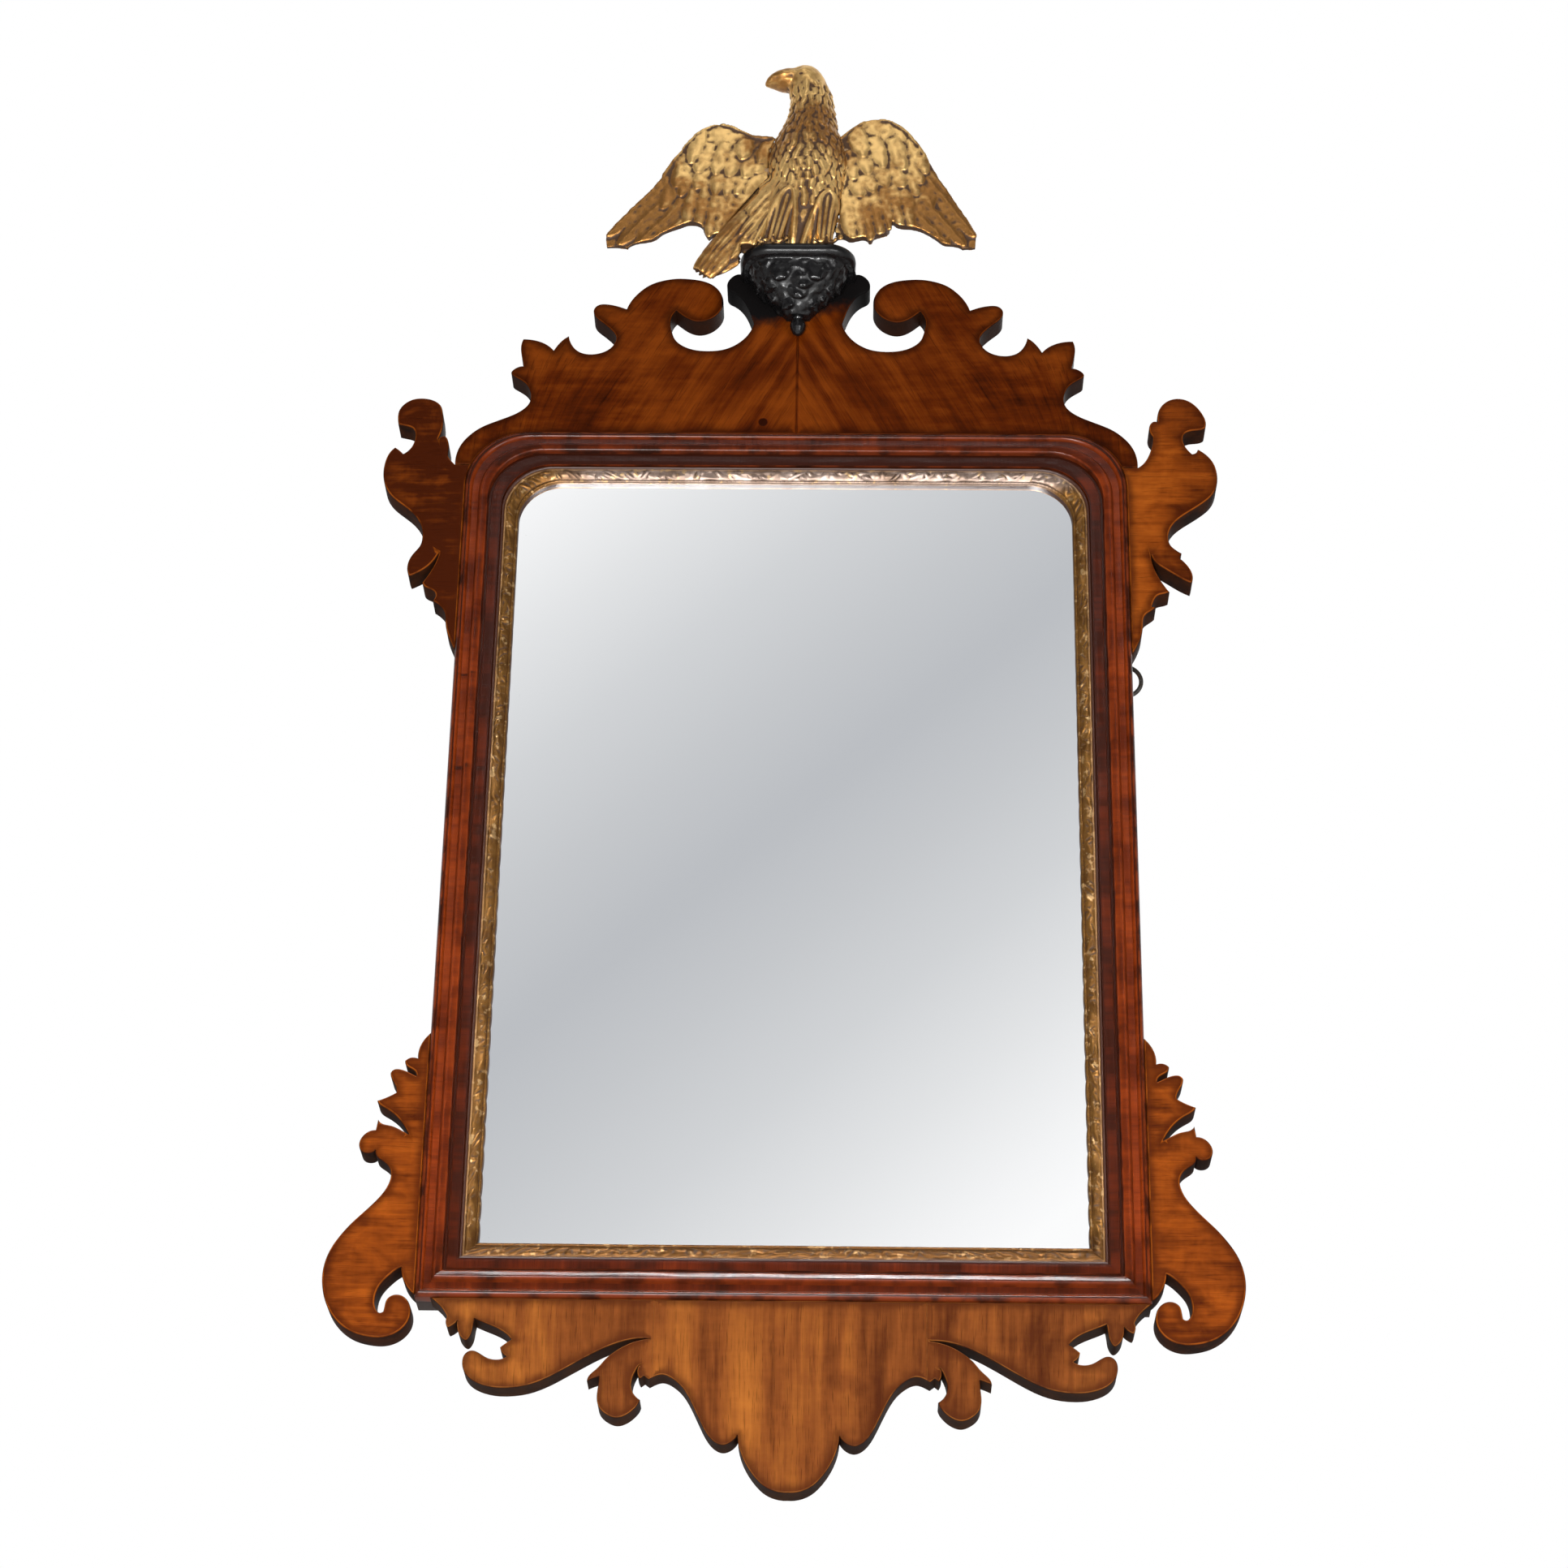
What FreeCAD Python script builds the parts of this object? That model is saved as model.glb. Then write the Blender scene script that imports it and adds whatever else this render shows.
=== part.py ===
# Fretwork wall mirror with a carved and gilded eagle standing on an ebonised bracket.
# X runs across the mirror, Y into the wall (the front faces -Y), and Z up.
# The origin is the centre of the back, in the plane that lies against the wall.
import FreeCAD, Part
import math
import os
from types import SimpleNamespace

Vector = FreeCAD.Vector
Rotation = FreeCAD.Rotation
Placement = FreeCAD.Placement
X_AXIS = Vector(1, 0, 0)
Y_AXIS = Vector(0, 1, 0)
Z_AXIS = Vector(0, 0, 1)

# Driving dimensions, in millimetres.
SIZES = {
    # Softwood frame behind the mouldings
    "outer_width": 425.0,
    "outer_height": 587.0,
    "core_width": 30.0,
    "core_thickness": 16.0,
    "corner_radius": 39.5,
    "sight_radius": 28.3,
    # Moulding and gilded slip
    "moulding_width": 24.0,
    "moulding_base": 8.0,
    "moulding_relief": 4.6,
    "slip_width": 11.0,
    "slip_height": 6.4,
    # Mirror plate, its wedges and the boards behind it
    "glass_thickness": 3.5,
    "glass_clearance": 1.0,
    "wedge_length": 34.0,
    "wedge_width": 7.0,
    "wedge_depth": 8.0,
    "backboard_thickness": 10.0,
    "backboard_side_inset": 22.0,
    "backboard_end_inset": 12.0,
    "backboard_chamfer": 3.0,
    "nail_length": 19.0,
    "nail_diameter": 2.0,
    "nail_head_diameter": 4.6,
    "nail_head_thickness": 1.0,
    "nail_edge": 4.2,
    # Fretwork boards and their veneers
    "fret_thickness": 17.0,
    "veneer_thickness": 1.0,
    "crest_rise": 120.0,
    "shoulder_reach": 7.5,
    "shoulder_drop": 24.0,
    "upper_ear_width": 58.0,
    "upper_ear_height": 190.0,
    "upper_ear_drop": 161.5,
    "lower_ear_width": 54.0,
    "lower_ear_height": 190.0,
    "lower_ear_rise": 165.5,
    "apron_inset": 4.5,
    "apron_drop": 113.0,
    "apron_shift": 4.5,
    # Batten and glue blocks behind the fretwork
    "batten_width": 32.0,
    "batten_notch": 12.0,
    "batten_top_drop": 8.0,
    "block_width": 10.0,
    "block_length": 36.0,
    # Bracket under the eagle
    "bracket_width": 76.0,
    "bracket_depth": 37.0,
    "bracket_height": 38.0,
    "cap_height": 8.0,
    "drop_height": 14.0,
    "drop_diameter": 10.5,
    "tenon_diameter": 4.0,
    "tenon_length": 7.0,
    "bracket_screw_length": 38.0,
    "bracket_screw_diameter": 4.0,
    "bracket_screw_head": 8.0,
    "bracket_screw_head_height": 2.4,
    "bracket_screw_spacing": 18.0,
    "bracket_screw_drop": 15.0,
    # Eagle
    "eagle_height": 150.0,
    "eagle_forward": 21.0,
    "wing_span": 128.0,
    "wing_height": 96.0,
    "wing_lift": 5.0,
    "wing_thickness": 13.0,
    "wing_tip_thickness": 7.0,
    "dowel_diameter": 5.0,
    "dowel_length": 26.0,
    # Screw eyes and hanging rings
    "ring_diameter": 24.0,
    "ring_wire": 2.8,
    "eye_diameter": 9.6,
    "eye_wire": 2.4,
    "eye_shank": 13.0,
    "eye_drop": 153.8,
    "right_eye_inset": 3.0,
    "left_eye_inset": 8.5,
    "ring_rest_gap": 0.3,
    # How far every cut runs past the wood
    "overrun": 5.0,
}

doc = FreeCAD.newDocument("eagle_mirror")
sheet = doc.addObject("Spreadsheet::Sheet", "Sizes")
for row, (alias, value) in enumerate(SIZES.items(), start=1):
    sheet.set("A%d" % row, alias)
    sheet.set("B%d" % row, str(value))
    sheet.setAlias("B%d" % row, alias)
doc.recompute()
s = SimpleNamespace(**{alias: float(sheet.get(alias)) for alias in SIZES})

# Planes and edges that several pieces share.
half_width = s.outer_width / 2
half_height = s.outer_height / 2
core_back = -s.backboard_thickness
core_front = core_back - s.core_thickness
front_plane = core_front - s.moulding_base
fret_back = front_plane + s.fret_thickness
block_depth = core_back - fret_back
crest_half_width = half_width + s.shoulder_reach
apron_half_width = half_width - s.apron_inset
shoulder = half_height - s.shoulder_drop
upper_ear_foot = half_height - s.upper_ear_drop
lower_ear_top = s.lower_ear_rise - half_height
CORE_BACK = "-Sizes.backboard_thickness"
CORE_FRONT = CORE_BACK + " - Sizes.core_thickness"
FRONT_PLANE = CORE_FRONT + " - Sizes.moulding_base"
FRET_BACK = FRONT_PLANE + " + Sizes.fret_thickness"
VENEER_BACK = FRONT_PLANE + " + Sizes.veneer_thickness"

# Outlines of the fretwork, traced as shares of each board's width and height.
# An outline is a list of runs: a run is smooth, and runs meet at a corner.
# Below the top of the frame, the crest's heights are shares of its shoulders' drop.
crest_start_shares = (0.0, 1.0375)
crest_shares = [
    [(0.182, 1.0375)],
    [(0.209, 1.000), (0.215, 0.960), (0.202, 0.922)],
    [(0.170, 0.876), (0.150, 0.812), (0.132, 0.710)],
    [(0.150, 0.6375), (0.182, 0.5775), (0.218, 0.544), (0.264, 0.532), (0.309, 0.540), (0.3455, 0.569),
     (0.368, 0.6125), (0.377, 0.6625), (0.382, 0.721), (0.375, 0.769), (0.365, 0.794)],
    [(0.348, 0.767), (0.325, 0.7375), (0.298, 0.723), (0.266, 0.7375), (0.239, 0.779), (0.225, 0.8375),
     (0.231, 0.904), (0.252, 0.957), (0.286, 0.990), (0.327, 1.004), (0.368, 1.006), (0.409, 0.9925),
     (0.4455, 0.965), (0.475, 0.921), (0.500, 0.8625), (0.514, 0.804)],
    [(0.541, 0.8225), (0.573, 0.835), (0.600, 0.829), (0.612, 0.804), (0.609, 0.7625), (0.586, 0.717),
     (0.559, 0.671), (0.543, 0.625), (0.547, 0.579)],
    [(0.566, 0.536), (0.591, 0.514), (0.623, 0.508), (0.652, 0.525), (0.673, 0.567), (0.684, 0.625)],
    [(0.7045, 0.594), (0.718, 0.561), (0.727, 0.532)],
    [(0.750, 0.571), (0.782, 0.596), (0.8195, 0.604)],
    [(0.825, 0.5375), (0.8195, 0.479), (0.814, 0.4275)],
    [(0.836, 0.417), (0.850, 0.386), (0.8295, 0.350), (0.802, 0.308), (0.789, 0.250), (0.791, 0.196),
     (0.816, 0.140), (0.8545, 0.100), (0.8955, 0.067), (0.932, 0.032), (0.961, -0.0625),
     (0.984, -0.335), (0.997, -0.645), (1.000, -1.000)],
]

right_ear_shares = [
    [(0.207, 0.746), (0.267, 0.7816), (0.298, 0.818), (0.307, 0.847)],
    [(0.274, 0.866), (0.274, 0.8895), (0.302, 0.905), (0.367, 0.907)],
    [(0.376, 0.945), (0.4225, 0.974), (0.500, 0.9937), (0.603, 1.001), (0.707, 0.9937), (0.802, 0.971),
     (0.871, 0.9395), (0.905, 0.905), (0.893, 0.8826)],
    [(0.810, 0.873), (0.724, 0.8695), (0.660, 0.858), (0.641, 0.834), (0.6776, 0.8026), (0.738, 0.779)],
    [(0.776, 0.784), (0.802, 0.798)],
    [(0.8966, 0.776), (0.9655, 0.747), (1.000, 0.7105), (1.005, 0.678), (0.985, 0.645), (0.935, 0.615),
     (0.840, 0.586), (0.712, 0.557), (0.590, 0.530), (0.495, 0.500), (0.443, 0.462), (0.457, 0.4237),
     (0.5086, 0.405), (0.5776, 0.3895)],
    [(0.560, 0.370)],
    [(0.6466, 0.3395), (0.690, 0.305), (0.672, 0.2737)],
    [(0.560, 0.292), (0.4224, 0.321), (0.310, 0.347), (0.241, 0.384)],
    [(0.276, 0.329), (0.345, 0.2816), (0.431, 0.2405)],
    [(0.371, 0.233), (0.302, 0.226), (0.255, 0.205), (0.233, 0.184)],
    [(0.276, 0.1816)],
    [(0.2155, 0.166), (0.155, 0.150), (0.129, 0.1105), (0.112, 0.076), (0.069, 0.0395), (0.0, 0.0)],
]
left_ear_shares = [
    [(0.172, 0.738), (0.207, 0.755), (0.2086, 0.789), (0.2207, 0.8158), (0.267, 0.8368), (0.307, 0.833),
     (0.341, 0.821)],
    [(0.307, 0.850), (0.2897, 0.8895), (0.302, 0.929), (0.333, 0.9605), (0.405, 0.979), (0.517, 0.988),
     (0.6466, 0.984), (0.733, 0.968), (0.793, 0.942), (0.805, 0.9105), (0.793, 0.8826)],
    [(0.707, 0.876), (0.624, 0.865), (0.595, 0.837), (0.603, 0.813), (0.6466, 0.784), (0.7155, 0.765)],
    [(0.7586, 0.779), (0.810, 0.7905)],
    [(0.867, 0.771), (0.910, 0.734), (0.9224, 0.6947), (0.912, 0.662), (0.878, 0.628), (0.815, 0.598),
     (0.700, 0.566), (0.588, 0.537), (0.502, 0.505), (0.448, 0.464), (0.440, 0.429), (0.457, 0.405),
     (0.526, 0.3737), (0.5776, 0.337), (0.581, 0.3105), (0.552, 0.284)],
    [(0.440, 0.3026), (0.345, 0.326), (0.281, 0.3526), (0.241, 0.379)],
    [(0.290, 0.326), (0.353, 0.287), (0.405, 0.2605)],
    [(0.362, 0.242), (0.293, 0.2316), (0.250, 0.208)],
    [(0.276, 0.1895)],
    [(0.198, 0.171), (0.1466, 0.150), (0.124, 0.1105), (0.1034, 0.076), (0.060, 0.0395), (0.0, 0.0)],
]
# Heights of the lower ears and the apron are measured downwards.
lower_ear_shares = [
    [(0.065, 0.021), (0.1167, 0.0526), (0.126, 0.087)],
    [(0.194, 0.084), (0.265, 0.095)],
    [(0.2315, 0.116), (0.172, 0.126), (0.130, 0.147)],
    [(0.191, 0.138), (0.287, 0.126), (0.380, 0.125), (0.417, 0.137)],
    [(0.389, 0.163), (0.346, 0.187), (0.339, 0.2026)],
    [(0.435, 0.218), (0.543, 0.2305)],
    [(0.5185, 0.242), (0.435, 0.258), (0.315, 0.284), (0.226, 0.316), (0.176, 0.342)],
    [(0.259, 0.328), (0.380, 0.313), (0.4815, 0.305), (0.5185, 0.293)],
    [(0.537, 0.328)],
    [(0.620, 0.334), (0.685, 0.3526), (0.709, 0.376), (0.676, 0.399), (0.602, 0.406), (0.524, 0.396)],
    [(0.500, 0.418), (0.435, 0.4316), (0.370, 0.449), (0.339, 0.476), (0.348, 0.495), (0.394, 0.526),
     (0.4815, 0.5595), (0.598, 0.595), (0.7185, 0.630), (0.833, 0.670), (0.926, 0.712), (0.983, 0.755),
     (1.0055, 0.800), (0.991, 0.847), (0.944, 0.892), (0.861, 0.933), (0.750, 0.965), (0.620, 0.986),
     (0.472, 0.997), (0.324, 0.999), (0.194, 0.988), (0.102, 0.968), (0.044, 0.941), (0.0315, 0.912),
     (0.0685, 0.8816), (0.139, 0.865), (0.222, 0.863), (0.291, 0.876), (0.313, 0.897), (0.324, 0.916)],
    [(0.367, 0.920), (0.409, 0.905), (0.422, 0.874), (0.389, 0.8395), (0.3055, 0.808), (0.213, 0.784),
     (0.163, 0.775)],
    [(0.148, 0.803), (0.102, 0.832), (0.0426, 0.853), (0.0, 0.863)],
]
apron_shares = [
    [(0.981, 0.0265), (0.9615, 0.0646), (0.9495, 0.102)],
    [(0.952, 0.137), (0.946, 0.159)],
    [(0.931, 0.144), (0.9207, 0.124)],
    [(0.918, 0.1726), (0.907, 0.2106), (0.894, 0.2257), (0.8827, 0.2035), (0.8764, 0.155),
     (0.8726, 0.1106)],
    [(0.827, 0.146), (0.786, 0.186), (0.768, 0.2195)],
    [(0.782, 0.237), (0.798, 0.261)],
    [(0.792, 0.290), (0.779, 0.3097)],
    [(0.805, 0.3257), (0.832, 0.317), (0.856, 0.291), (0.876, 0.279), (0.893, 0.2947), (0.9005, 0.3345),
     (0.896, 0.382), (0.880, 0.423), (0.851, 0.454), (0.8125, 0.4717), (0.769, 0.4735), (0.721, 0.460),
     (0.673, 0.427), (0.625, 0.379), (0.572, 0.321), (0.522, 0.270), (0.478, 0.2345), (0.433, 0.212),
     (0.385, 0.208)],
    [(0.433, 0.228), (0.471, 0.2637), (0.507, 0.3186), (0.529, 0.367), (0.553, 0.416), (0.555, 0.4336)],
    [(0.5385, 0.420), (0.5226, 0.4097)],
    [(0.524, 0.4646), (0.526, 0.5265), (0.518, 0.5735), (0.499, 0.606), (0.4726, 0.624), (0.446, 0.6106),
     (0.4245, 0.580), (0.411, 0.547), (0.4077, 0.529)],
    [(0.4197, 0.5115), (0.430, 0.482), (0.4327, 0.4425), (0.4264, 0.394), (0.4135, 0.3496)],
    [(0.4173, 0.389), (0.410, 0.4204)],
    [(0.399, 0.405)],
    [(0.386, 0.423)],
    [(0.3726, 0.4097), (0.351, 0.397), (0.3197, 0.4186), (0.293, 0.463), (0.269, 0.5336), (0.2466, 0.6195),
     (0.2245, 0.697), (0.202, 0.743), (0.180, 0.759), (0.157, 0.745), (0.139, 0.708)],
    [(0.131, 0.7876), (0.1144, 0.858), (0.0904, 0.922), (0.061, 0.972), (0.030, 0.9956), (0.0, 1.0)],
]

# Front of the moulding: across as shares of its width, up as shares of its relief.
moulding_shares = [
    [(0.083, 0.0)],
    [(0.100, 0.400), (0.146, 0.600), (0.1875, 0.630), (0.240, 0.560), (0.279, 0.330), (0.292, 0.040)],
    [(0.350, 0.100), (0.440, 0.300), (0.550, 0.760)],
    [(0.567, 0.930), (0.595, 1.000), (0.625, 0.940), (0.642, 0.780)],
    [(0.650, 0.200)],
    [(0.750, 0.000), (0.875, -0.130), (1.000, -0.200)],
]
# Front of the slip: across as shares of its width, up as shares of its height.
slip_start_shares = (0.0, 0.86)
slip_shares = [
    [(0.030, 0.960), (0.100, 1.000)],
    [(0.920, 0.580)],
    [(0.975, 0.540), (1.000, 0.450)],
]


def chain(start, runs, place):
    """Turn the shares of an outline into runs of points, each from corner to corner."""
    chained = []
    here = place(*start)
    for run in runs:
        points = [here] + [place(*point) for point in run]
        chained.append(points)
        here = points[-1]
    return chained


def mirrored(runs, axis=0.0):
    """The same runs on the other side of the line x = axis, walked the other way."""
    return [[(2 * axis - x, z) for x, z in reversed(run)] for run in reversed(runs)]


def run_edge(points, spread=None):
    """A straight edge between two points, or a smooth curve through more."""
    corners = [point if isinstance(point, Vector) else Vector(*point, 0) for point in points]
    if len(corners) == 2:
        return Part.LineSegment(*corners)
    curve = Part.BSplineCurve()
    if spread:
        curve.interpolate(Points=corners, Parameters=spread)
    else:
        curve.interpolate(Points=corners)
    return curve


def even_spread(count):
    """Evenly spaced parameters, so that a section keeps its shape when it is sheared."""
    return [index / (count - 1) for index in range(count)]


def new_body(label):
    body = doc.addObject("PartDesign::Body", label)
    body.Label = label
    return body


def place_along_y(thing, expression):
    thing.setExpression("Placement.Base.y", expression)


def add_sketch(body, role, edges, offset=None):
    """Draw edges on one of the body's own planes, raised by an expression if one is given."""
    sketch = body.newObject("Sketcher::SketchObject", body.Name + "_sketch")
    plane = next(item for item in body.Origin.OriginFeatures if item.Role == role)
    sketch.AttachmentSupport = [(plane, "")]
    sketch.MapMode = "FlatFace"
    sketch.addGeometry(edges, False)
    if offset:
        sketch.setExpression("AttachmentOffset.Base.z", offset)
    return sketch


def add_pad(body, sketch, length):
    pad = body.newObject("PartDesign::Pad", body.Name + "_pad")
    pad.Profile = sketch
    pad.setExpression("Length", length)
    return pad


def add_pocket(body, sketch, length=None, forwards=False):
    """Cut to a depth, or right through both ways where no depth is given."""
    pocket = body.newObject("PartDesign::Pocket", body.Name + "_pocket")
    pocket.Profile = sketch
    if length:
        pocket.setExpression("Length", length)
        pocket.Reversed = forwards
    else:
        pocket.Type = "ThroughAll"
        pocket.SideType = "Symmetric"
    return pocket


def box_edges(x_low, x_high, z_low, z_high):
    corners = [(x_low, z_low), (x_high, z_low), (x_high, z_high), (x_low, z_high)]
    return [run_edge([corners[i], corners[(i + 1) % len(corners)]]) for i in range(len(corners))]


def board(label, runs, back, thickness):
    """A board sawn to an outline in the XZ plane, its back at one Y and its face towards the viewer."""
    body = new_body(label)
    add_pad(body, add_sketch(body, "XZ_Plane", [run_edge(run) for run in runs]), thickness)
    place_along_y(body, back)
    return body


def solid_feature(label, shape):
    feature = doc.addObject("Part::Feature", label)
    feature.Label = label
    feature.Shape = shape
    return feature


def group(label, solids):
    """Several separate solids of one kind in one node."""
    return solid_feature(label, Part.makeCompound(solids))


def drilled(label, blank, tools):
    """A piece with the holes that other pieces pass through."""
    cut = doc.addObject("Part::Cut", label)
    blank.Label = label + "_blank"
    cut.Base = blank
    cut.Tool = group(label + "_holes", tools)
    cut.Label = label
    return cut


def turned(points, base, axis):
    """Revolve an outline of radius and height pairs about an axis through base."""
    wire = Part.makePolygon([Vector(r, 0, z) for r, z in points + points[:1]])
    solid = Part.Face(wire).revolve(Vector(), Z_AXIS, 360)
    solid.Placement = Placement(base, Rotation(Z_AXIS, axis))
    return solid


def oval_loft(sections):
    """Loft through ovals, each given as centre, two half axes and the direction it faces."""
    wires = []
    for centre, half_across, half_deep, facing, across in sections:
        oval = Part.Ellipse(Vector(), max(half_across, half_deep), min(half_across, half_deep)).toShape()
        ahead = facing.normalize()
        side = (across - ahead * across.dot(ahead)).normalize()
        if half_across < half_deep:
            side = ahead.cross(side)
        turn = Rotation(side, ahead.cross(side), ahead, "ZXY")
        oval.Placement = Placement(centre, turn)
        wires.append(Part.Wire(oval))
    return Part.makeLoft(wires, True, False)


def corner_point(z):
    """Where the rounded corner of the frame is at a height."""
    rise = z - (half_height - s.corner_radius)
    return half_width - s.corner_radius + math.sqrt(s.corner_radius ** 2 - rise ** 2)


def corner_arc(x_first, z_first, x_last, z_last):
    """An arc of the frame's rounded top right corner, as three points."""
    x_centre = half_width - s.corner_radius
    z_centre = half_height - s.corner_radius
    first = math.atan2(z_first - z_centre, x_first - x_centre)
    last = math.atan2(z_last - z_centre, x_last - x_centre)
    middle = (first + last) / 2
    through = (x_centre + s.corner_radius * math.cos(middle), z_centre + s.corner_radius * math.sin(middle))
    return [(x_first, z_first), through, (x_last, z_last)]


def sawn(label, outline, arcs, back, thickness, mirror=False):
    """A board whose outline has arcs of the frame's corner between its runs."""
    edges = []
    for run in outline:
        points = [(-x, z) for x, z in run] if mirror else run
        if run in arcs:
            edges.append(Part.Arc(*[Vector(*point, 0) for point in points]))
        else:
            edges.append(run_edge(points))
    body = new_body(label)
    add_pad(body, add_sketch(body, "XZ_Plane", edges), thickness)
    place_along_y(body, back)
    return body


# Softwood frame, half-lapped at its corners.
inner_width = half_width - s.core_width
inner_height = half_height - s.core_width
arc_foot = half_height - s.corner_radius
lap_top = half_height - (half_width - corner_point(inner_height))
lap_arc = corner_arc(half_width, arc_foot, inner_width, lap_top)
stile_outline = [
    [(inner_width, -half_height), (half_width, -half_height)],
    [(half_width, -half_height), (half_width, arc_foot)],
    lap_arc,
    [lap_arc[-1], (inner_width, -half_height)],
]
rail_arc = corner_arc(corner_point(inner_height), inner_height, half_width - s.corner_radius, half_height)
rail_half = [
    [(0.0, inner_height), (rail_arc[0][0], inner_height)],
    rail_arc,
    [rail_arc[-1], (0.0, half_height)],
]
batten_half = s.batten_width / 2


def core_stile(label, mirror):
    body = sawn(label, stile_outline, [lap_arc], CORE_BACK, "Sizes.core_thickness", mirror)
    side = -1 if mirror else 1
    near = min(side * inner_width, side * (half_width + s.overrun))
    far = max(side * inner_width, side * (half_width + s.overrun))
    top = box_edges(near, far, inner_height, half_height + s.overrun)
    bottom = box_edges(near, far, -half_height - s.overrun, -inner_height)
    for lap in (top, bottom):
        lap_sketch = add_sketch(body, "XZ_Plane", lap, "Sizes.core_thickness")
        add_pocket(body, lap_sketch, "Sizes.core_thickness / 2")
    return body


def core_rail(label, outline, arcs, z_low, z_high):
    body = sawn(label, outline, arcs, CORE_BACK, "Sizes.core_thickness")
    for side in (-1, 1):
        near = min(side * inner_width, side * (half_width + s.overrun))
        far = max(side * inner_width, side * (half_width + s.overrun))
        lap = add_sketch(body, "XZ_Plane", box_edges(near, far, z_low, z_high))
        add_pocket(body, lap, "Sizes.core_thickness / 2", True)
    return body


top_outline = rail_half + mirrored(rail_half)
top_arcs = [top_outline[1], top_outline[4]]
bottom_outline = [
    [(-half_width, -half_height), (half_width, -half_height)],
    [(half_width, -half_height), (half_width, -inner_height)],
    [(half_width, -inner_height), (-half_width, -inner_height)],
    [(-half_width, -inner_height), (-half_width, -half_height)],
]
core_left_blank = core_stile("core_left_stile", True)
core_right_blank = core_stile("core_right_stile", False)
past_end = half_height + s.overrun
core_top_blank = core_rail("core_top_rail", top_outline, top_arcs, inner_height, past_end)
core_bottom_blank = core_rail("core_bottom_rail", bottom_outline, [], -past_end, -inner_height)
notch = box_edges(-batten_half, batten_half, half_height - s.batten_notch, half_height + s.overrun)
notch_sketch = add_sketch(core_top_blank, "XZ_Plane", notch)
add_pocket(core_top_blank, notch_sketch, "%s - (%s)" % (CORE_BACK, FRET_BACK), True)

# Moulding and slip: straight lengths mitred below, and curved corners above.
sight_width = s.moulding_width + s.slip_width
corner_slope = (s.corner_radius - s.sight_radius) / sight_width


def moulding_runs():
    def place(across, up):
        return (across * s.moulding_width, s.moulding_base + up * s.moulding_relief)
    face = chain((0.0, 0.0), moulding_shares, place)
    return closed_section(face)


def slip_runs():
    def place(across, up):
        return (s.moulding_width + across * s.slip_width, up * s.slip_height)
    face = chain(slip_start_shares, slip_shares, place)
    return closed_section(face)


def closed_section(face):
    """Close the front of a section with its two sides and its flat back."""
    start = face[0][0]
    end = face[-1][-1]
    sides = [[end, (end[0], 0.0)], [(end[0], 0.0), (start[0], 0.0)], [(start[0], 0.0), start]]
    return face + sides


def end_cut(body, across, length, at_end, offset, slope):
    """Cut one end of a length on the slant: the cut's place grows with the distance from the outer edge."""
    low = across[0] - s.overrun
    high = across[1] + s.overrun
    places = [offset + slope * low, offset + slope * high]
    beyond = -s.overrun - abs(slope) * s.overrun
    if at_end:
        places = [length - place for place in places]
        beyond = length - beyond
    corners = [(low, places[0]), (high, places[1]), (high, beyond), (low, beyond)]
    edges = [run_edge([corners[i], corners[(i + 1) % len(corners)]]) for i in range(len(corners))]
    add_pocket(body, add_sketch(body, "XZ_Plane", edges))


# The sides in order round the frame from the top left corner, with a quarter turn from each to the next.
ROUND = ("left", "bottom", "right", "top")
mitre_share = 1.0
curve_share = 1.0 - corner_slope


def side_length(label, section, side):
    """One side of the frame: mitred at the bottom corners, and square to the curve at the top ones."""
    turns = ROUND.index(side)
    x_side = -1 if side in ("left", "bottom") else 1
    z_side = 1 if side in ("left", "top") else -1
    along = "outer_height" if side in ("left", "right") else "outer_width"
    curved = {"left": (False,), "right": (True,), "top": (False, True), "bottom": ()}[side]
    reaches = [point[0] for run in section for point in run]
    across = [min(reaches), max(reaches)]
    body = new_body(label)
    edges = [run_edge(run, even_spread(len(run))) for run in section]
    add_pad(body, add_sketch(body, "XY_Plane", edges), "Sizes." + along)
    for at_end in (False, True):
        if at_end in curved:
            end_cut(body, across, getattr(s, along), at_end, s.corner_radius, curve_share)
        else:
            end_cut(body, across, getattr(s, along), at_end, 0.0, mitre_share)
    body.Placement = Placement(Vector(), Rotation(Y_AXIS, -90 * turns) * Rotation(X_AXIS, 180))
    body.setExpression("Placement.Base.x", "%d * Sizes.outer_width / 2" % x_side)
    body.setExpression("Placement.Base.z", "%d * Sizes.outer_height / 2" % z_side)
    place_along_y(body, CORE_FRONT)
    return body


def curved_corner(label, section, side):
    """The section carried round a top corner, on arcs that tighten from the outside to the sight edge."""
    wires = []
    stations = 7
    for index in range(stations):
        angle = math.radians(90 * index / (stations - 1))

        def place(across, up):
            radius = s.corner_radius - corner_slope * across
            inward = across + radius * (1 - math.cos(angle))
            down = across + radius * (1 - math.sin(angle))
            return Vector(side * (half_width - inward), core_front - up, half_height - down)
        placed = [[place(*point) for point in run] for run in section]
        wires.append(Part.Wire([run_edge(run, even_spread(len(run))).toShape() for run in placed]))
    return solid_feature(label, Part.makeLoft(wires, True, False))


moulding_section = moulding_runs()
slip_section = slip_runs()
for side in ROUND:
    side_length("moulding_" + side, moulding_section, side)
    side_length("slip_" + side, slip_section, side)
for side, sign in (("left", -1), ("right", 1)):
    curved_corner("moulding_corner_" + side, moulding_section, sign)
    curved_corner("slip_corner_" + side, slip_section, sign)

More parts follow.
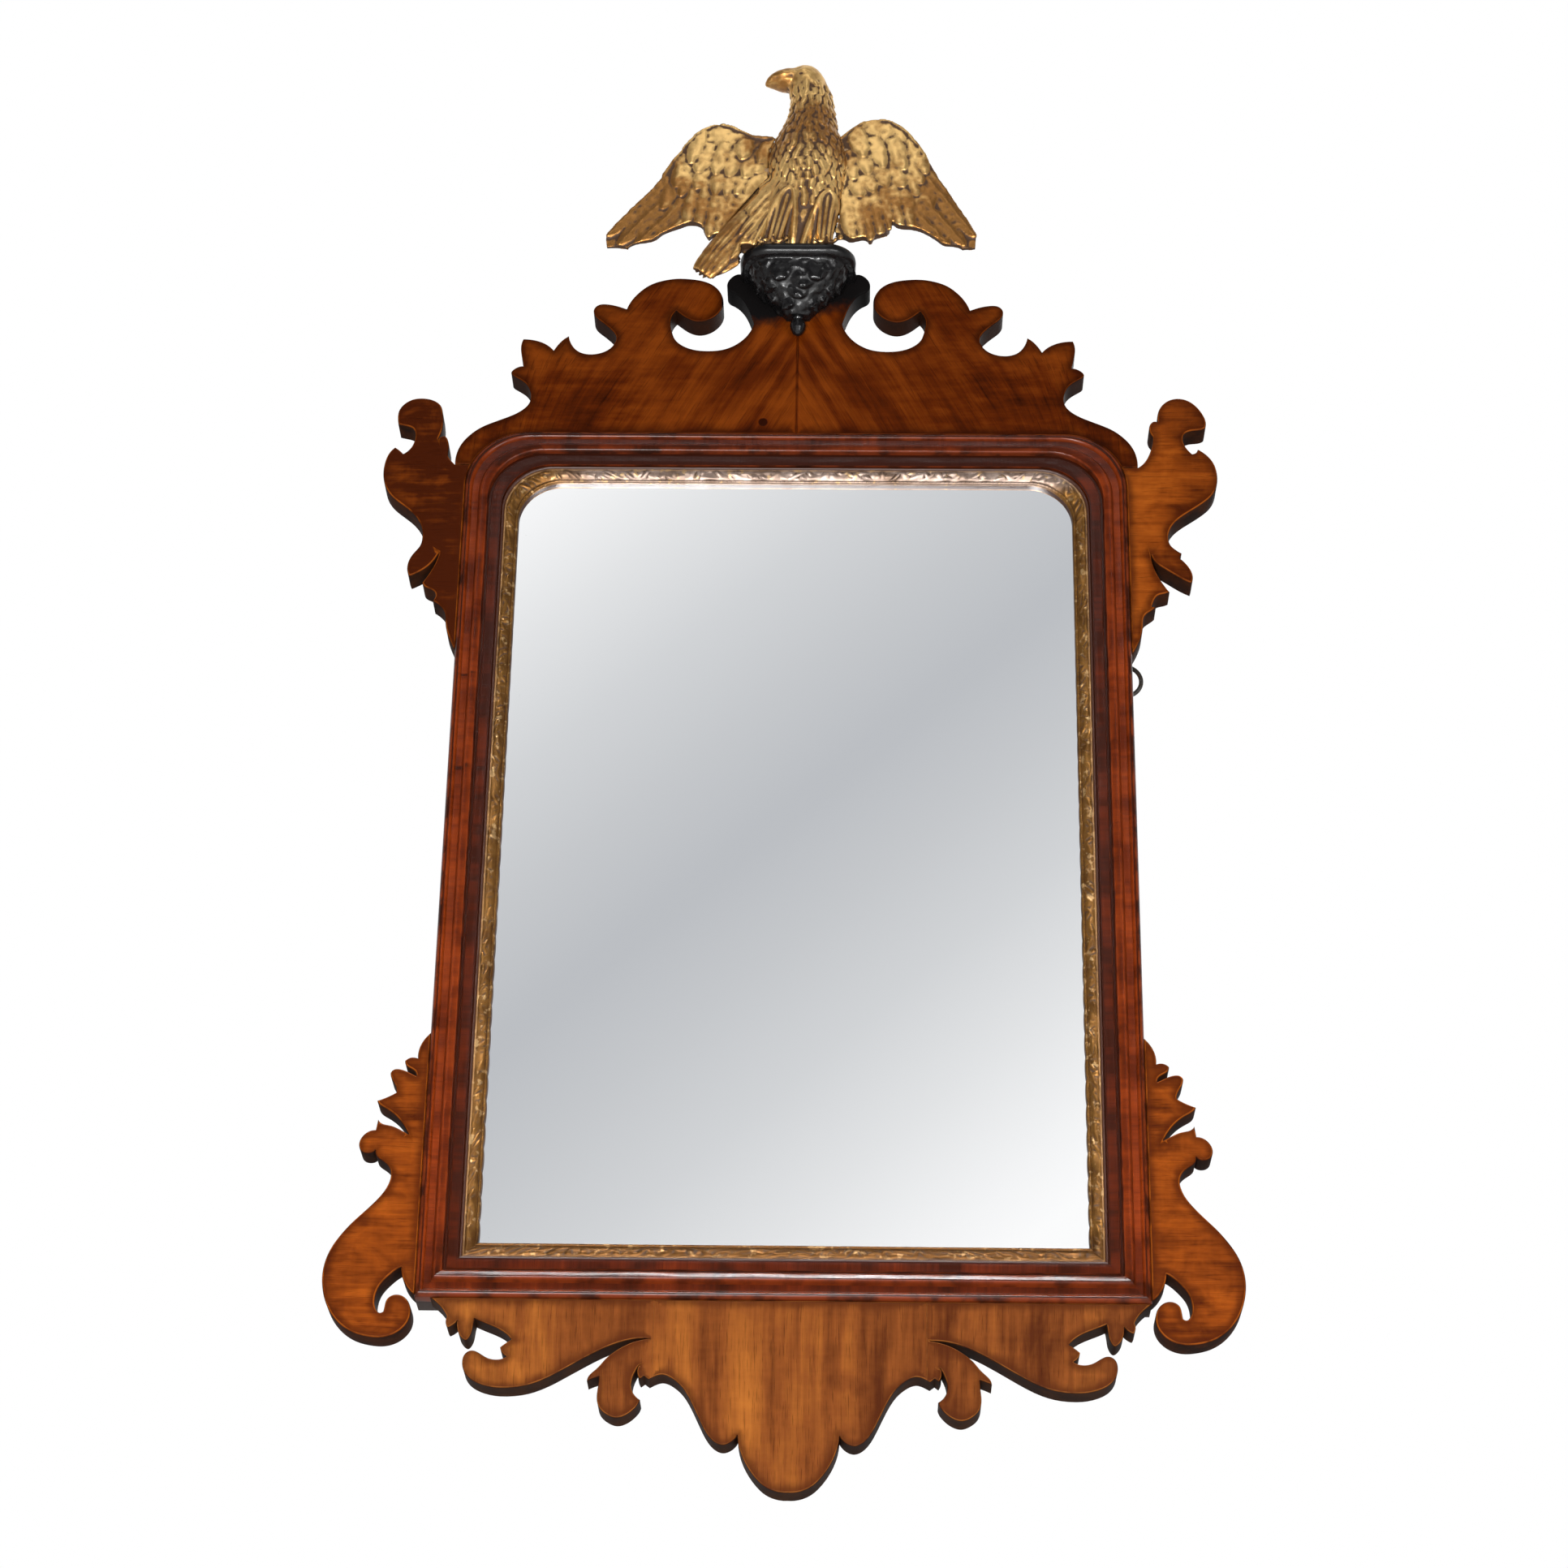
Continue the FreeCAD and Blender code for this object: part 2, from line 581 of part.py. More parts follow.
# Mirror plate behind the slip, and the wedges that hold it.
PLATE_MARGIN = "(Sizes.core_width + Sizes.glass_clearance)"
plate = doc.addObject("Part::Box", "mirror_plate")
plate.Label = "mirror_plate"
plate.setExpression("Length", "Sizes.outer_width - 2 * " + PLATE_MARGIN)
plate.setExpression("Height", "Sizes.outer_height - 2 * " + PLATE_MARGIN)
plate.setExpression("Width", "Sizes.glass_thickness")
plate.setExpression("Placement.Base.x", "-Sizes.outer_width / 2 + " + PLATE_MARGIN)
plate.setExpression("Placement.Base.z", "-Sizes.outer_height / 2 + " + PLATE_MARGIN)
place_along_y(plate, CORE_FRONT)
plate_back = core_front + s.glass_thickness
wedge_shares = (-0.62, 0.0, 0.62)


def wedge(along, outward, corner):
    """A three-cornered block glued to the frame's inner edge, against the back of the plate."""
    points = [corner, corner - outward * s.wedge_width, corner + Y_AXIS * s.wedge_depth]
    face = Part.Face(Part.makePolygon(points + points[:1]))
    face.translate(along * (-s.wedge_length / 2))
    return face.extrude(along * s.wedge_length)


wedges = []
for share in wedge_shares:
    for sign in (-1, 1):
        corner = Vector(sign * inner_width, plate_back, share * inner_height)
        wedges.append(wedge(Z_AXIS, X_AXIS * sign, corner))
for share in wedge_shares[::2]:
    for sign in (-1, 1):
        corner = Vector(share * inner_width, plate_back, sign * inner_height)
        wedges.append(wedge(X_AXIS, Z_AXIS * sign, corner))
group("glass_wedges", wedges)

# Three boards close the back, nailed to the frame.
board_half_width = half_width - s.backboard_side_inset
board_half_height = half_height - s.backboard_end_inset
board_names = ("backboard_bottom", "backboard_middle", "backboard_top")
board_height = 2 * board_half_height / len(board_names)
nail_rows_share = 0.3
nail_points = []
for index in range(len(board_names)):
    middle = -board_half_height + (index + 0.5) * board_height
    for sign in (-1, 1):
        for row in (-1, 1):
            height = middle + row * nail_rows_share * board_height
            nail_points.append((sign * (board_half_width - s.nail_edge), height))
end_nail_share = 0.4
for sign in (-1, 1):
    for share in (-end_nail_share, end_nail_share):
        nail_points.append((share * board_half_width, sign * (board_half_height - s.nail_edge)))
nail_outline = [
    (0.0, 0.0),
    (s.nail_head_diameter / 2, 0.0),
    (s.nail_head_diameter / 2, s.nail_head_thickness),
    (s.nail_diameter / 2, s.nail_head_thickness),
    (s.nail_diameter / 2, s.nail_length - s.nail_diameter),
    (0.0, s.nail_length),
]
nails = [turned(nail_outline, Vector(x, 0, z), -Y_AXIS) for x, z in nail_points]
group("backboard_nails", nails)


def backboard(label, index):
    body = new_body(label)
    low = -board_half_height + index * board_height
    edges = box_edges(-board_half_width, board_half_width, low, low + board_height)
    pad = add_pad(body, add_sketch(body, "XZ_Plane", edges), "Sizes.backboard_thickness")
    doc.recompute()
    outer = [(0, board_half_width), (0, -board_half_width), (1, board_half_height), (1, -board_half_height)]
    chosen = []
    for number, edge in enumerate(pad.Shape.Edges, start=1):
        middle = edge.CenterOfMass
        on_back = abs(middle.y) < Part.Precision.confusion()
        reach = (middle.x, middle.z)
        if on_back and any(abs(reach[way] - place) < Part.Precision.confusion() for way, place in outer):
            chosen.append("Edge%d" % number)
    chamfer = body.newObject("PartDesign::Chamfer", label + "_chamfer")
    chamfer.Base = (pad, chosen)
    chamfer.setExpression("Size", "Sizes.backboard_chamfer")
    return body


for index, label in enumerate(board_names):
    drilled(label, backboard(label, index), nails)

# Crest: a sawn board round the top of the frame, faced with two matched veneers.
def place_crest(across, up):
    reach = s.crest_rise if up > 0 else s.shoulder_drop
    return (across * crest_half_width, half_height + up * reach)


shoulder_x = corner_point(shoulder)
crest_arc = corner_arc(shoulder_x, shoulder, half_width - s.corner_radius, half_height)
crest_right = chain(crest_start_shares, crest_shares, place_crest)
crest_right.append([crest_right[-1][-1], (shoulder_x, shoulder)])
crest_right.append(crest_arc)
crest_right.append([crest_arc[-1], (0.0, half_height)])
crest_outline = crest_right + mirrored(crest_right)
crest_arcs = [crest_arc, mirrored([crest_arc])[0]]
crest_face = crest_right + [[(0.0, half_height), crest_right[0][0]]]

bracket_top = place_crest(*crest_start_shares)[1]
screw_height = bracket_top - s.bracket_screw_drop
screw_outline = [
    (0.0, 0.0),
    (s.bracket_screw_head / 2, 0.0),
    (s.bracket_screw_diameter / 2, s.bracket_screw_head_height),
    (s.bracket_screw_diameter / 2, s.bracket_screw_length - s.bracket_screw_diameter),
    (0.0, s.bracket_screw_length),
]
bracket_screws = []
for sign in (-1, 1):
    base = Vector(sign * s.bracket_screw_spacing / 2, core_back, screw_height)
    bracket_screws.append(turned(screw_outline, base, -Y_AXIS))
group("bracket_screws", bracket_screws)

crest_blank = sawn("crest_panel", crest_outline, crest_arcs, FRET_BACK,
                   "Sizes.fret_thickness - Sizes.veneer_thickness")
drilled("crest_panel", crest_blank, bracket_screws)
for side, mirror in (("left", True), ("right", False)):
    label = "crest_veneer_" + side
    face = sawn(label, crest_face, [crest_arc], VENEER_BACK, "Sizes.veneer_thickness", mirror)
    drilled(label, face, bracket_screws)

# Ears: the upper pair stand on the crest's shoulders, and differ a little, as hand-cut pairs do.
def place_upper_ear(out, up):
    return (half_width + out * s.upper_ear_width, upper_ear_foot + up * s.upper_ear_height)


def place_lower_ear(out, down):
    return (half_width + out * s.lower_ear_width, lower_ear_top - down * s.lower_ear_height)


def ear_outline(shares):
    runs = [[(shoulder_x, shoulder), (crest_half_width, shoulder)]]
    chained = chain((0.0, 0.0), shares, place_upper_ear)
    chained[0][0] = (crest_half_width, shoulder)
    runs += chained
    runs.append([(half_width, upper_ear_foot), (half_width, arc_foot)])
    runs.append(ear_arc)
    return runs


ear_arc = corner_arc(half_width, arc_foot, shoulder_x, shoulder)
sawn("upper_ear_right", ear_outline(right_ear_shares), [ear_arc], FRET_BACK, "Sizes.fret_thickness")
sawn("upper_ear_left", ear_outline(left_ear_shares), [ear_arc], FRET_BACK, "Sizes.fret_thickness", True)
lower_runs = chain((0.0, 0.0), lower_ear_shares, place_lower_ear)
lower_runs.append([lower_runs[-1][-1], lower_runs[0][0]])
sawn("lower_ear_right", lower_runs, [], FRET_BACK, "Sizes.fret_thickness")
sawn("lower_ear_left", lower_runs, [], FRET_BACK, "Sizes.fret_thickness", True)

# Apron: a sawn board under the frame, a little off centre, faced with three veneers.
def place_apron(across, down):
    return (s.apron_shift + across * apron_half_width, -half_height - down * s.apron_drop)


apron_right = chain((1.0, 0.0), apron_shares, place_apron)
apron_outline = apron_right + mirrored(apron_right, s.apron_shift)
apron_outline.append([apron_outline[-1][-1], apron_outline[0][0]])
board("apron_panel", apron_outline, FRET_BACK, "Sizes.fret_thickness - Sizes.veneer_thickness")
apron_seam_share = 0.3774
apron_seam = apron_seam_share * apron_half_width
far_edge = apron_half_width + s.overrun
apron_strips = (
    ("left", -far_edge, -apron_seam),
    ("centre", -apron_seam, apron_seam),
    ("right", apron_seam, far_edge),
)
for side, low, high in apron_strips:
    label = "apron_veneer_" + side
    sheet_of_veneer = board(label, apron_outline, VENEER_BACK, "Sizes.veneer_thickness")
    strip = new_body(label + "_strip")
    strip_edges = box_edges(s.apron_shift + low, s.apron_shift + high, -half_height - 2 * s.apron_drop, 0.0)
    add_pad(strip, add_sketch(strip, "XZ_Plane", strip_edges), "Sizes.fret_thickness")
    place_along_y(strip, FRET_BACK)
    veneer = doc.addObject("Part::Common", label)
    sheet_of_veneer.Label = label + "_sheet"
    veneer.Base = sheet_of_veneer
    veneer.Tool = strip
    veneer.Label = label

# Batten up the back of the crest, let into the top rail, and glue blocks behind every joint.
batten_top = bracket_top - s.batten_top_drop
batten_edges = box_edges(-batten_half, batten_half, half_height - s.batten_notch, batten_top)
batten = new_body("crest_batten")
add_pad(batten, add_sketch(batten, "XZ_Plane", batten_edges), "%s - (%s)" % (CORE_BACK, FRET_BACK))
place_along_y(batten, CORE_BACK)
drilled("crest_batten", batten, bracket_screws)
block_bevel_share = 0.45


def glue_block(centre, along, outward):
    """A block in the corner between the frame's edge and a fretwork board's back, its arris taken off."""
    bevel = block_bevel_share * block_depth
    points = [
        centre,
        centre + outward * s.block_width,
        centre + outward * s.block_width + Y_AXIS * (block_depth - bevel),
        centre + outward * (s.block_width - bevel) + Y_AXIS * block_depth,
        centre + Y_AXIS * block_depth,
    ]
    face = Part.Face(Part.makePolygon(points + points[:1]))
    face.translate(along * (-s.block_length / 2))
    return face.extrude(along * s.block_length)


crest_block_shares = (-0.68, -0.34, 0.34, 0.68)
apron_block_shares = (-0.62, -0.22, 0.22, 0.62)
upper_block_shares = (0.28, 0.5)
lower_block_shares = (0.45, 0.66)
block_rows = (("crest_blocks", crest_block_shares, 1), ("apron_blocks", apron_block_shares, -1))
for label, shares, sign in block_rows:
    blocks = []
    for share in shares:
        corner = Vector(share * half_width, fret_back, sign * half_height)
        blocks.append(glue_block(corner, X_AXIS, Z_AXIS * sign))
    group(label, blocks)
for side, sign in (("left", -1), ("right", 1)):
    heights = [upper_ear_foot + share * s.upper_ear_height for share in upper_block_shares]
    heights += [lower_ear_top - share * s.lower_ear_height for share in lower_block_shares]
    blocks = []
    for height in heights:
        blocks.append(glue_block(Vector(sign * half_width, fret_back, height), Z_AXIS, X_AXIS * sign))
    group("ear_blocks_" + side, blocks)

# Bracket: a moulded cap over a corbel that draws in to a turned drop.
cap_foot = bracket_top - s.cap_height
bracket_foot = bracket_top - s.bracket_height
# Height, half width and depth of each section, as shares of its own height and of the bracket's size.
corbel_shares = ((0.0, 0.20, 0.26), (0.22, 0.34, 0.44), (0.60, 0.64, 0.70), (1.0, 0.86, 0.84))
cap_shares = ((0.0, 0.90, 0.88), (0.35, 1.00, 1.00), (0.75, 1.00, 1.00), (1.0, 0.95, 0.95))
rounding_share = 0.55


def bracket_wire(height, half_across, depth):
    """A level section: flat against the crest, with its front corners rounded off."""
    bend = rounding_share * depth
    front = front_plane - depth
    points = [
        Vector(-half_across, front_plane, height),
        Vector(half_across, front_plane, height),
        Vector(half_across, front + bend, height),
        Vector(half_across - bend, front, height),
        Vector(-half_across + bend, front, height),
        Vector(-half_across, front + bend, height),
    ]
    lean = bend * (1 - math.sqrt(0.5))
    right = Part.Arc(points[2], Vector(half_across - lean, front + lean, height), points[3])
    left = Part.Arc(points[4], Vector(-half_across + lean, front + lean, height), points[5])
    edges = [
        Part.LineSegment(points[0], points[1]),
        Part.LineSegment(points[1], points[2]),
        right,
        Part.LineSegment(points[3], points[4]),
        left,
        Part.LineSegment(points[5], points[0]),
    ]
    return Part.Wire([edge.toShape() for edge in edges])


def bracket_loft(shares, foot, rise):
    wires = []
    for up, across, depth in shares:
        wires.append(bracket_wire(foot + up * rise, across * s.bracket_width / 2, depth * s.bracket_depth))
    return Part.makeLoft(wires, True, False)


corbel = bracket_loft(corbel_shares, bracket_foot, s.bracket_height - s.cap_height)
cap = bracket_loft(cap_shares, cap_foot, s.cap_height)
drop_back_share = 0.5
drop_y = front_plane - drop_back_share * s.drop_diameter
drop_radius = s.drop_diameter / 2
drop_shares = ((0.0, -1.0), (0.30, -0.97), (0.66, -0.86), (0.92, -0.66), (1.0, -0.48), (0.92, -0.30),
               (0.62, -0.17), (0.72, -0.11), (0.72, 0.0))
drop_outline = [(across * drop_radius, up * s.drop_height) for across, up in drop_shares]
drop_outline += [(s.tenon_diameter / 2, 0.0), (s.tenon_diameter / 2, s.tenon_length), (0.0, s.tenon_length)]
drop = turned(drop_outline, Vector(0, drop_y, bracket_foot), Z_AXIS)
solid_feature("bracket_drop", drop)

# Eagle: every place on the carving is a share of its height, from the middle of its feet.
eagle_y = front_plane - s.eagle_forward
wing_foot = bracket_top + s.wing_lift


def carve(across, forward, up):
    """A point of the carving."""
    ahead = eagle_y - forward * s.eagle_height
    return Vector(across * s.eagle_height, ahead, bracket_top + up * s.eagle_height)


def carved_loft(shares, across):
    """Loft along a spine of places with half widths and half depths, each section square to the spine."""
    centres = [carve(*place[:3]) for place in shares]
    sections = []
    for index, place in enumerate(shares):
        ahead = centres[min(index + 1, len(centres) - 1)] - centres[max(index - 1, 0)]
        half_axes = [share * s.eagle_height for share in place[3:]]
        sections.append((centres[index], *half_axes, ahead, across))
    return oval_loft(sections)


# Across, forward, up, half width and half depth.
trunk_shares = (
    (0.014, -0.02, -0.060, 0.118, 0.058),
    (0.020, 0.00, 0.100, 0.128, 0.078),
    (0.027, 0.01, 0.230, 0.150, 0.105),
    (0.033, 0.01, 0.390, 0.172, 0.127),
    (0.037, 0.01, 0.540, 0.168, 0.122),
    (0.045, 0.01, 0.650, 0.130, 0.107),
    (0.052, 0.01, 0.750, 0.106, 0.093),
    (0.045, 0.015, 0.850, 0.094, 0.084),
    (0.015, 0.02, 0.935, 0.088, 0.078),
    (-0.004, 0.02, 0.988, 0.055, 0.052),
)
beak_shares = (
    (0.010, 0.02, 0.935, 0.058, 0.062),
    (-0.060, 0.02, 0.934, 0.073, 0.056),
    (-0.105, 0.02, 0.930, 0.066, 0.043),
    (-0.142, 0.02, 0.920, 0.042, 0.026),
    (-0.160, 0.02, 0.902, 0.012, 0.010),
)
tail_shares = (
    (-0.060, 0.00, 0.370, 0.085, 0.075),
    (-0.160, 0.03, 0.200, 0.098, 0.056),
    (-0.252, 0.05, 0.060, 0.102, 0.042),
    (-0.345, 0.06, -0.060, 0.088, 0.030),
    (-0.420, 0.06, -0.135, 0.045, 0.020),
)
left_leg_shares = (
    (-0.035, 0.030, 0.340, 0.082, 0.075),
    (-0.070, 0.055, 0.200, 0.064, 0.062),
    (-0.095, 0.060, 0.090, 0.044, 0.044),
    (-0.106, 0.060, -0.040, 0.032, 0.035),
)
right_leg_shares = (
    (0.100, 0.030, 0.330, 0.082, 0.075),
    (0.110, 0.055, 0.190, 0.064, 0.062),
    (0.118, 0.060, 0.085, 0.044, 0.044),
    (0.122, 0.060, -0.040, 0.032, 0.035),
)
toe_angles = (-48, 0, 48)
toe_length_share = 0.085
toe_root_share = 0.023
toe_tip_share = 0.010
toe_lift_share = 0.014
ankle_share = 0.034


def toes(foot_shares):
    """Three claws that spread forwards on the cap, from a rounded ankle."""
    ankle = carve(foot_shares[0], foot_shares[1], toe_lift_share)
    solids = [Part.makeSphere(ankle_share * s.eagle_height, ankle)]
    for turn in toe_angles:
        way = Rotation(Z_AXIS, turn).multVec(-Y_AXIS)
        solids.append(Part.makeCone(toe_root_share * s.eagle_height, toe_tip_share * s.eagle_height,
                                    toe_length_share * s.eagle_height, ankle, way))
    return solids


carving = [carved_loft(beak_shares, Y_AXIS), carved_loft(tail_shares, X_AXIS)]
for leg in (left_leg_shares, right_leg_shares):
    carving.append(carved_loft(leg, X_AXIS))
    carving += toes(leg[-1])
eagle = carved_loft(trunk_shares, X_AXIS)
for piece in carving:
    eagle = eagle.fuse(piece)
under_cap = Vector(-s.bracket_width / 2, front_plane - s.eagle_height, bracket_top - s.eagle_height)
below = Part.makeBox(s.eagle_height, s.eagle_height, s.eagle_height, under_cap)
eagle = eagle.cut(below).cut(cap).cut(corbel)
eagle = max(eagle.Solids, key=lambda solid: solid.Volume)

# Wings: sawn to their feathered outlines, bowed and thinned towards the tips.
# Shares of the wing's span from the middle, and of its height from its lowest feather.
left_wing_shares = [
    [(0.040, 0.300), (0.040, 0.870)],
    [(0.090, 0.890), (0.156, 0.890), (0.234, 0.902), (0.297, 0.940), (0.352, 0.976), (0.406, 0.998),
     (0.469, 0.988), (0.531, 0.936), (0.586, 0.853), (0.641, 0.749), (0.6875, 0.640), (0.734, 0.535),
     (0.789, 0.437), (0.852, 0.340), (0.914, 0.245), (0.969, 0.155), (1.000, 0.090)],
    [(0.992, 0.010)],
    [(0.930, 0.012), (0.875, 0.000)],
    [(0.860, 0.022), (0.781, 0.052), (0.720, 0.090)],
    [(0.708, 0.104), (0.656, 0.142), (0.594, 0.176)],
    [(0.582, 0.184), (0.540, 0.190), (0.500, 0.166)],
    [(0.484, 0.105), (0.461, 0.058)],
    [(0.430, 0.092), (0.395, 0.095)],
    [(0.372, 0.066), (0.340, 0.140)],
    [(0.040, 0.300)],
]
right_wing_shares = [
    [(0.080, 0.180), (0.080, 0.750)],
    [(0.160, 0.835), (0.219, 0.897), (0.250, 0.938), (0.297, 0.995), (0.352, 1.042), (0.398, 1.052),
     (0.453, 1.042), (0.516, 1.000), (0.570, 0.927), (0.625, 0.823), (0.672, 0.719), (0.719, 0.599),
     (0.766, 0.484), (0.8125, 0.370), (0.859, 0.262), (0.898, 0.165), (0.918, 0.100)],
    [(0.912, 0.012)],
    [(0.875, 0.008), (0.840, 0.000)],
    [(0.812, 0.024), (0.770, 0.030), (0.735, 0.042)],
    [(0.703, 0.076), (0.656, 0.122), (0.594, 0.158)],
    [(0.560, 0.164), (0.520, 0.170), (0.477, 0.222)],
    [(0.474, 0.136)],
    [(0.455, 0.108)],
    [(0.430, 0.098), (0.391, 0.080)],
    [(0.380, 0.048), (0.359, 0.036)],
    [(0.340, 0.070), (0.290, 0.060), (0.240, 0.075)],
    [(0.080, 0.180)],
]
# Along the span: how far the wing stands forward of its root, and its thickness between root and tip.
bow_shares = ((0.0, 0.0, 1.0), (0.2, 0.10, 1.0), (0.45, 0.15, 0.82), (0.7, 0.05, 0.45), (1.02, -0.12, 0.0))
lower_edge_share = 0.5
plate_low_share = -0.1
plate_high_share = 1.15


def wing(shares, side):
    def place(across, up):
        return Vector(side * across * s.wing_span, 0, wing_foot + up * s.wing_height)
    start = shares[0][0]
    runs = chain(start, [shares[0][1:]] + shares[1:], place)
    outline = Part.Wire([run_edge(run).toShape() for run in runs])
    back = Vector(0, front_plane, 0)
    prism = Part.Face(outline).extrude(-Y_AXIS * s.eagle_height)
    prism.translate(back)
    wires = []
    for across, forward, full in bow_shares:
        thickness = s.wing_tip_thickness + full * (s.wing_thickness - s.wing_tip_thickness)
        middle = eagle_y - forward * s.wing_thickness
        x = side * across * s.wing_span
        low = wing_foot + plate_low_share * s.wing_height
        high = wing_foot + plate_high_share * s.wing_height
        thin = lower_edge_share * thickness / 2
        corners = [
            Vector(x, middle - thin, low),
            Vector(x, middle + thin, low),
            Vector(x, middle + thickness / 2, high),
            Vector(x, middle - thickness / 2, high),
        ]
        wires.append(Part.makePolygon(corners + corners[:1]))
    bowed = Part.makeLoft(wires, True, False)
    blade = prism.common(bowed).cut(eagle)
    return max(blade.Solids, key=lambda solid: solid.Volume)


left_wing = wing(left_wing_shares, -1)
right_wing = wing(right_wing_shares, 1)

# Dowels: two into each wing, and one down through each leg into the bracket.
dowel_radius = s.dowel_diameter / 2
wing_dowel_shares = (0.62, 0.79)
left_dowel_share = 0.07
right_dowel_share = 0.15
dowel_forward_share = 0.3
foot_dowel_share = 0.7
dowel_y = eagle_y - dowel_forward_share * s.wing_thickness
dowels = []
for sign, across in ((-1, left_dowel_share), (1, right_dowel_share)):
    for up in wing_dowel_shares:
        start = Vector(sign * across * s.wing_span, dowel_y, wing_foot + up * s.wing_height)
        dowels.append(Part.makeCylinder(dowel_radius, s.dowel_length, start, X_AXIS * sign))
for leg in (left_leg_shares, right_leg_shares):
    foot = carve(leg[-1][0], leg[-1][1], 0.0) - Z_AXIS * foot_dowel_share * s.cap_height
    dowels.append(Part.makeCylinder(dowel_radius, s.dowel_length, foot, Z_AXIS))
group("eagle_dowels", dowels)
drilled("eagle_body", solid_feature("eagle_blank", eagle), dowels)
drilled("eagle_wing_left", solid_feature("left_wing_blank", left_wing), dowels)
drilled("eagle_wing_right", solid_feature("right_wing_blank", right_wing), dowels)
bracket = corbel.fuse(cap).removeSplitter()
drilled("eagle_bracket", solid_feature("bracket_blank", bracket), bracket_screws + dowels + [drop])

# Screw eyes in the stiles, and the rings that swing in them.
eye_radius = (s.eye_diameter - s.eye_wire) / 2
ring_radius = (s.ring_diameter - s.ring_wire) / 2
eye_y = core_back + s.eye_diameter / 2
eye_height = half_height - s.eye_drop
ring_top = eye_height - eye_radius + (s.eye_wire + s.ring_wire) / 2 + s.ring_rest_gap


def screw_eye(x):
    centre = Vector(x, eye_y, eye_height)
    loop = Part.makeTorus(eye_radius, s.eye_wire / 2, centre, X_AXIS)
    shank_start = centre - Y_AXIS * eye_radius
    straight = s.eye_shank - s.eye_wire
    shank = Part.makeCylinder(s.eye_wire / 2, straight, shank_start, -Y_AXIS)
    point = Part.makeCone(s.eye_wire / 2, 0, s.eye_wire, shank_start - Y_AXIS * straight, -Y_AXIS)
    return loop.fuse(shank).fuse(point).removeSplitter()


eyes = {}
for side, sign, inset in (("left", -1, s.left_eye_inset), ("right", 1, s.right_eye_inset)):
    x = sign * (half_width - inset)
    eyes[side] = screw_eye(x)
    solid_feature("screw_eye_" + side, eyes[side])
    ring = doc.addObject("Part::Torus", "ring_" + side)
    ring.Label = "ring_" + side
    ring.setExpression("Radius1", "(Sizes.ring_diameter - Sizes.ring_wire) / 2")
    ring.setExpression("Radius2", "Sizes.ring_wire / 2")
    ring.Placement = Placement(Vector(x, eye_y, ring_top - ring_radius), Rotation(X_AXIS, 90))

drilled("core_left_stile", core_left_blank, nails + [eyes["left"]])
drilled("core_right_stile", core_right_blank, nails + [eyes["right"]])
drilled("core_top_rail", core_top_blank, nails)
drilled("core_bottom_rail", core_bottom_blank, nails)

# Every piece is checked before any is written.
NODES = [
    "core_left_stile", "core_right_stile", "core_top_rail", "core_bottom_rail",
    "moulding_left", "moulding_right", "moulding_top", "moulding_bottom",
    "moulding_corner_left", "moulding_corner_right",
    "slip_left", "slip_right", "slip_top", "slip_bottom", "slip_corner_left", "slip_corner_right",
    "mirror_plate", "glass_wedges",
    "backboard_top", "backboard_middle", "backboard_bottom", "backboard_nails",
    "crest_panel", "crest_veneer_left", "crest_veneer_right",
    "upper_ear_left", "upper_ear_right", "lower_ear_left", "lower_ear_right",
    "apron_panel", "apron_veneer_left", "apron_veneer_centre", "apron_veneer_right",
    "crest_batten", "crest_blocks", "apron_blocks", "ear_blocks_left", "ear_blocks_right",
    "eagle_bracket", "bracket_drop", "bracket_screws",
    "eagle_body", "eagle_wing_left", "eagle_wing_right", "eagle_dowels",
    "screw_eye_left", "screw_eye_right", "ring_left", "ring_right",
]
doc.recompute()
for item in doc.Objects:
    if "Invalid" in item.State or "Error" in item.State:
        raise RuntimeError("%s did not build: %s" % (item.Label, item.State))
pieces = {}
for node in NODES:
    found = doc.getObjectsByLabel(node)
    if len(found) != 1:
        raise RuntimeError("%s is the label of %d objects" % (node, len(found)))
    shape = found[0].Shape
    if shape.isNull() or not shape.isValid() or not shape.Solids:
        raise RuntimeError("%s is not a valid solid" % node)
    pieces[node] = shape
os.makedirs("parts", exist_ok=True)
for node, shape in pieces.items():
    shape.exportStep("parts/%s.step" % node)
    print("%s: %d solid(s), %.0f mm3" % (node, len(shape.Solids), shape.Volume))
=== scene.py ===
import math
import random
import bmesh
import bpy
import numpy as np
from mathutils import Matrix, Vector, noise
from mathutils.bvhtree import BVHTree
from mathutils.geometry import delaunay_2d_cdt
from mathutils.kdtree import KDTree


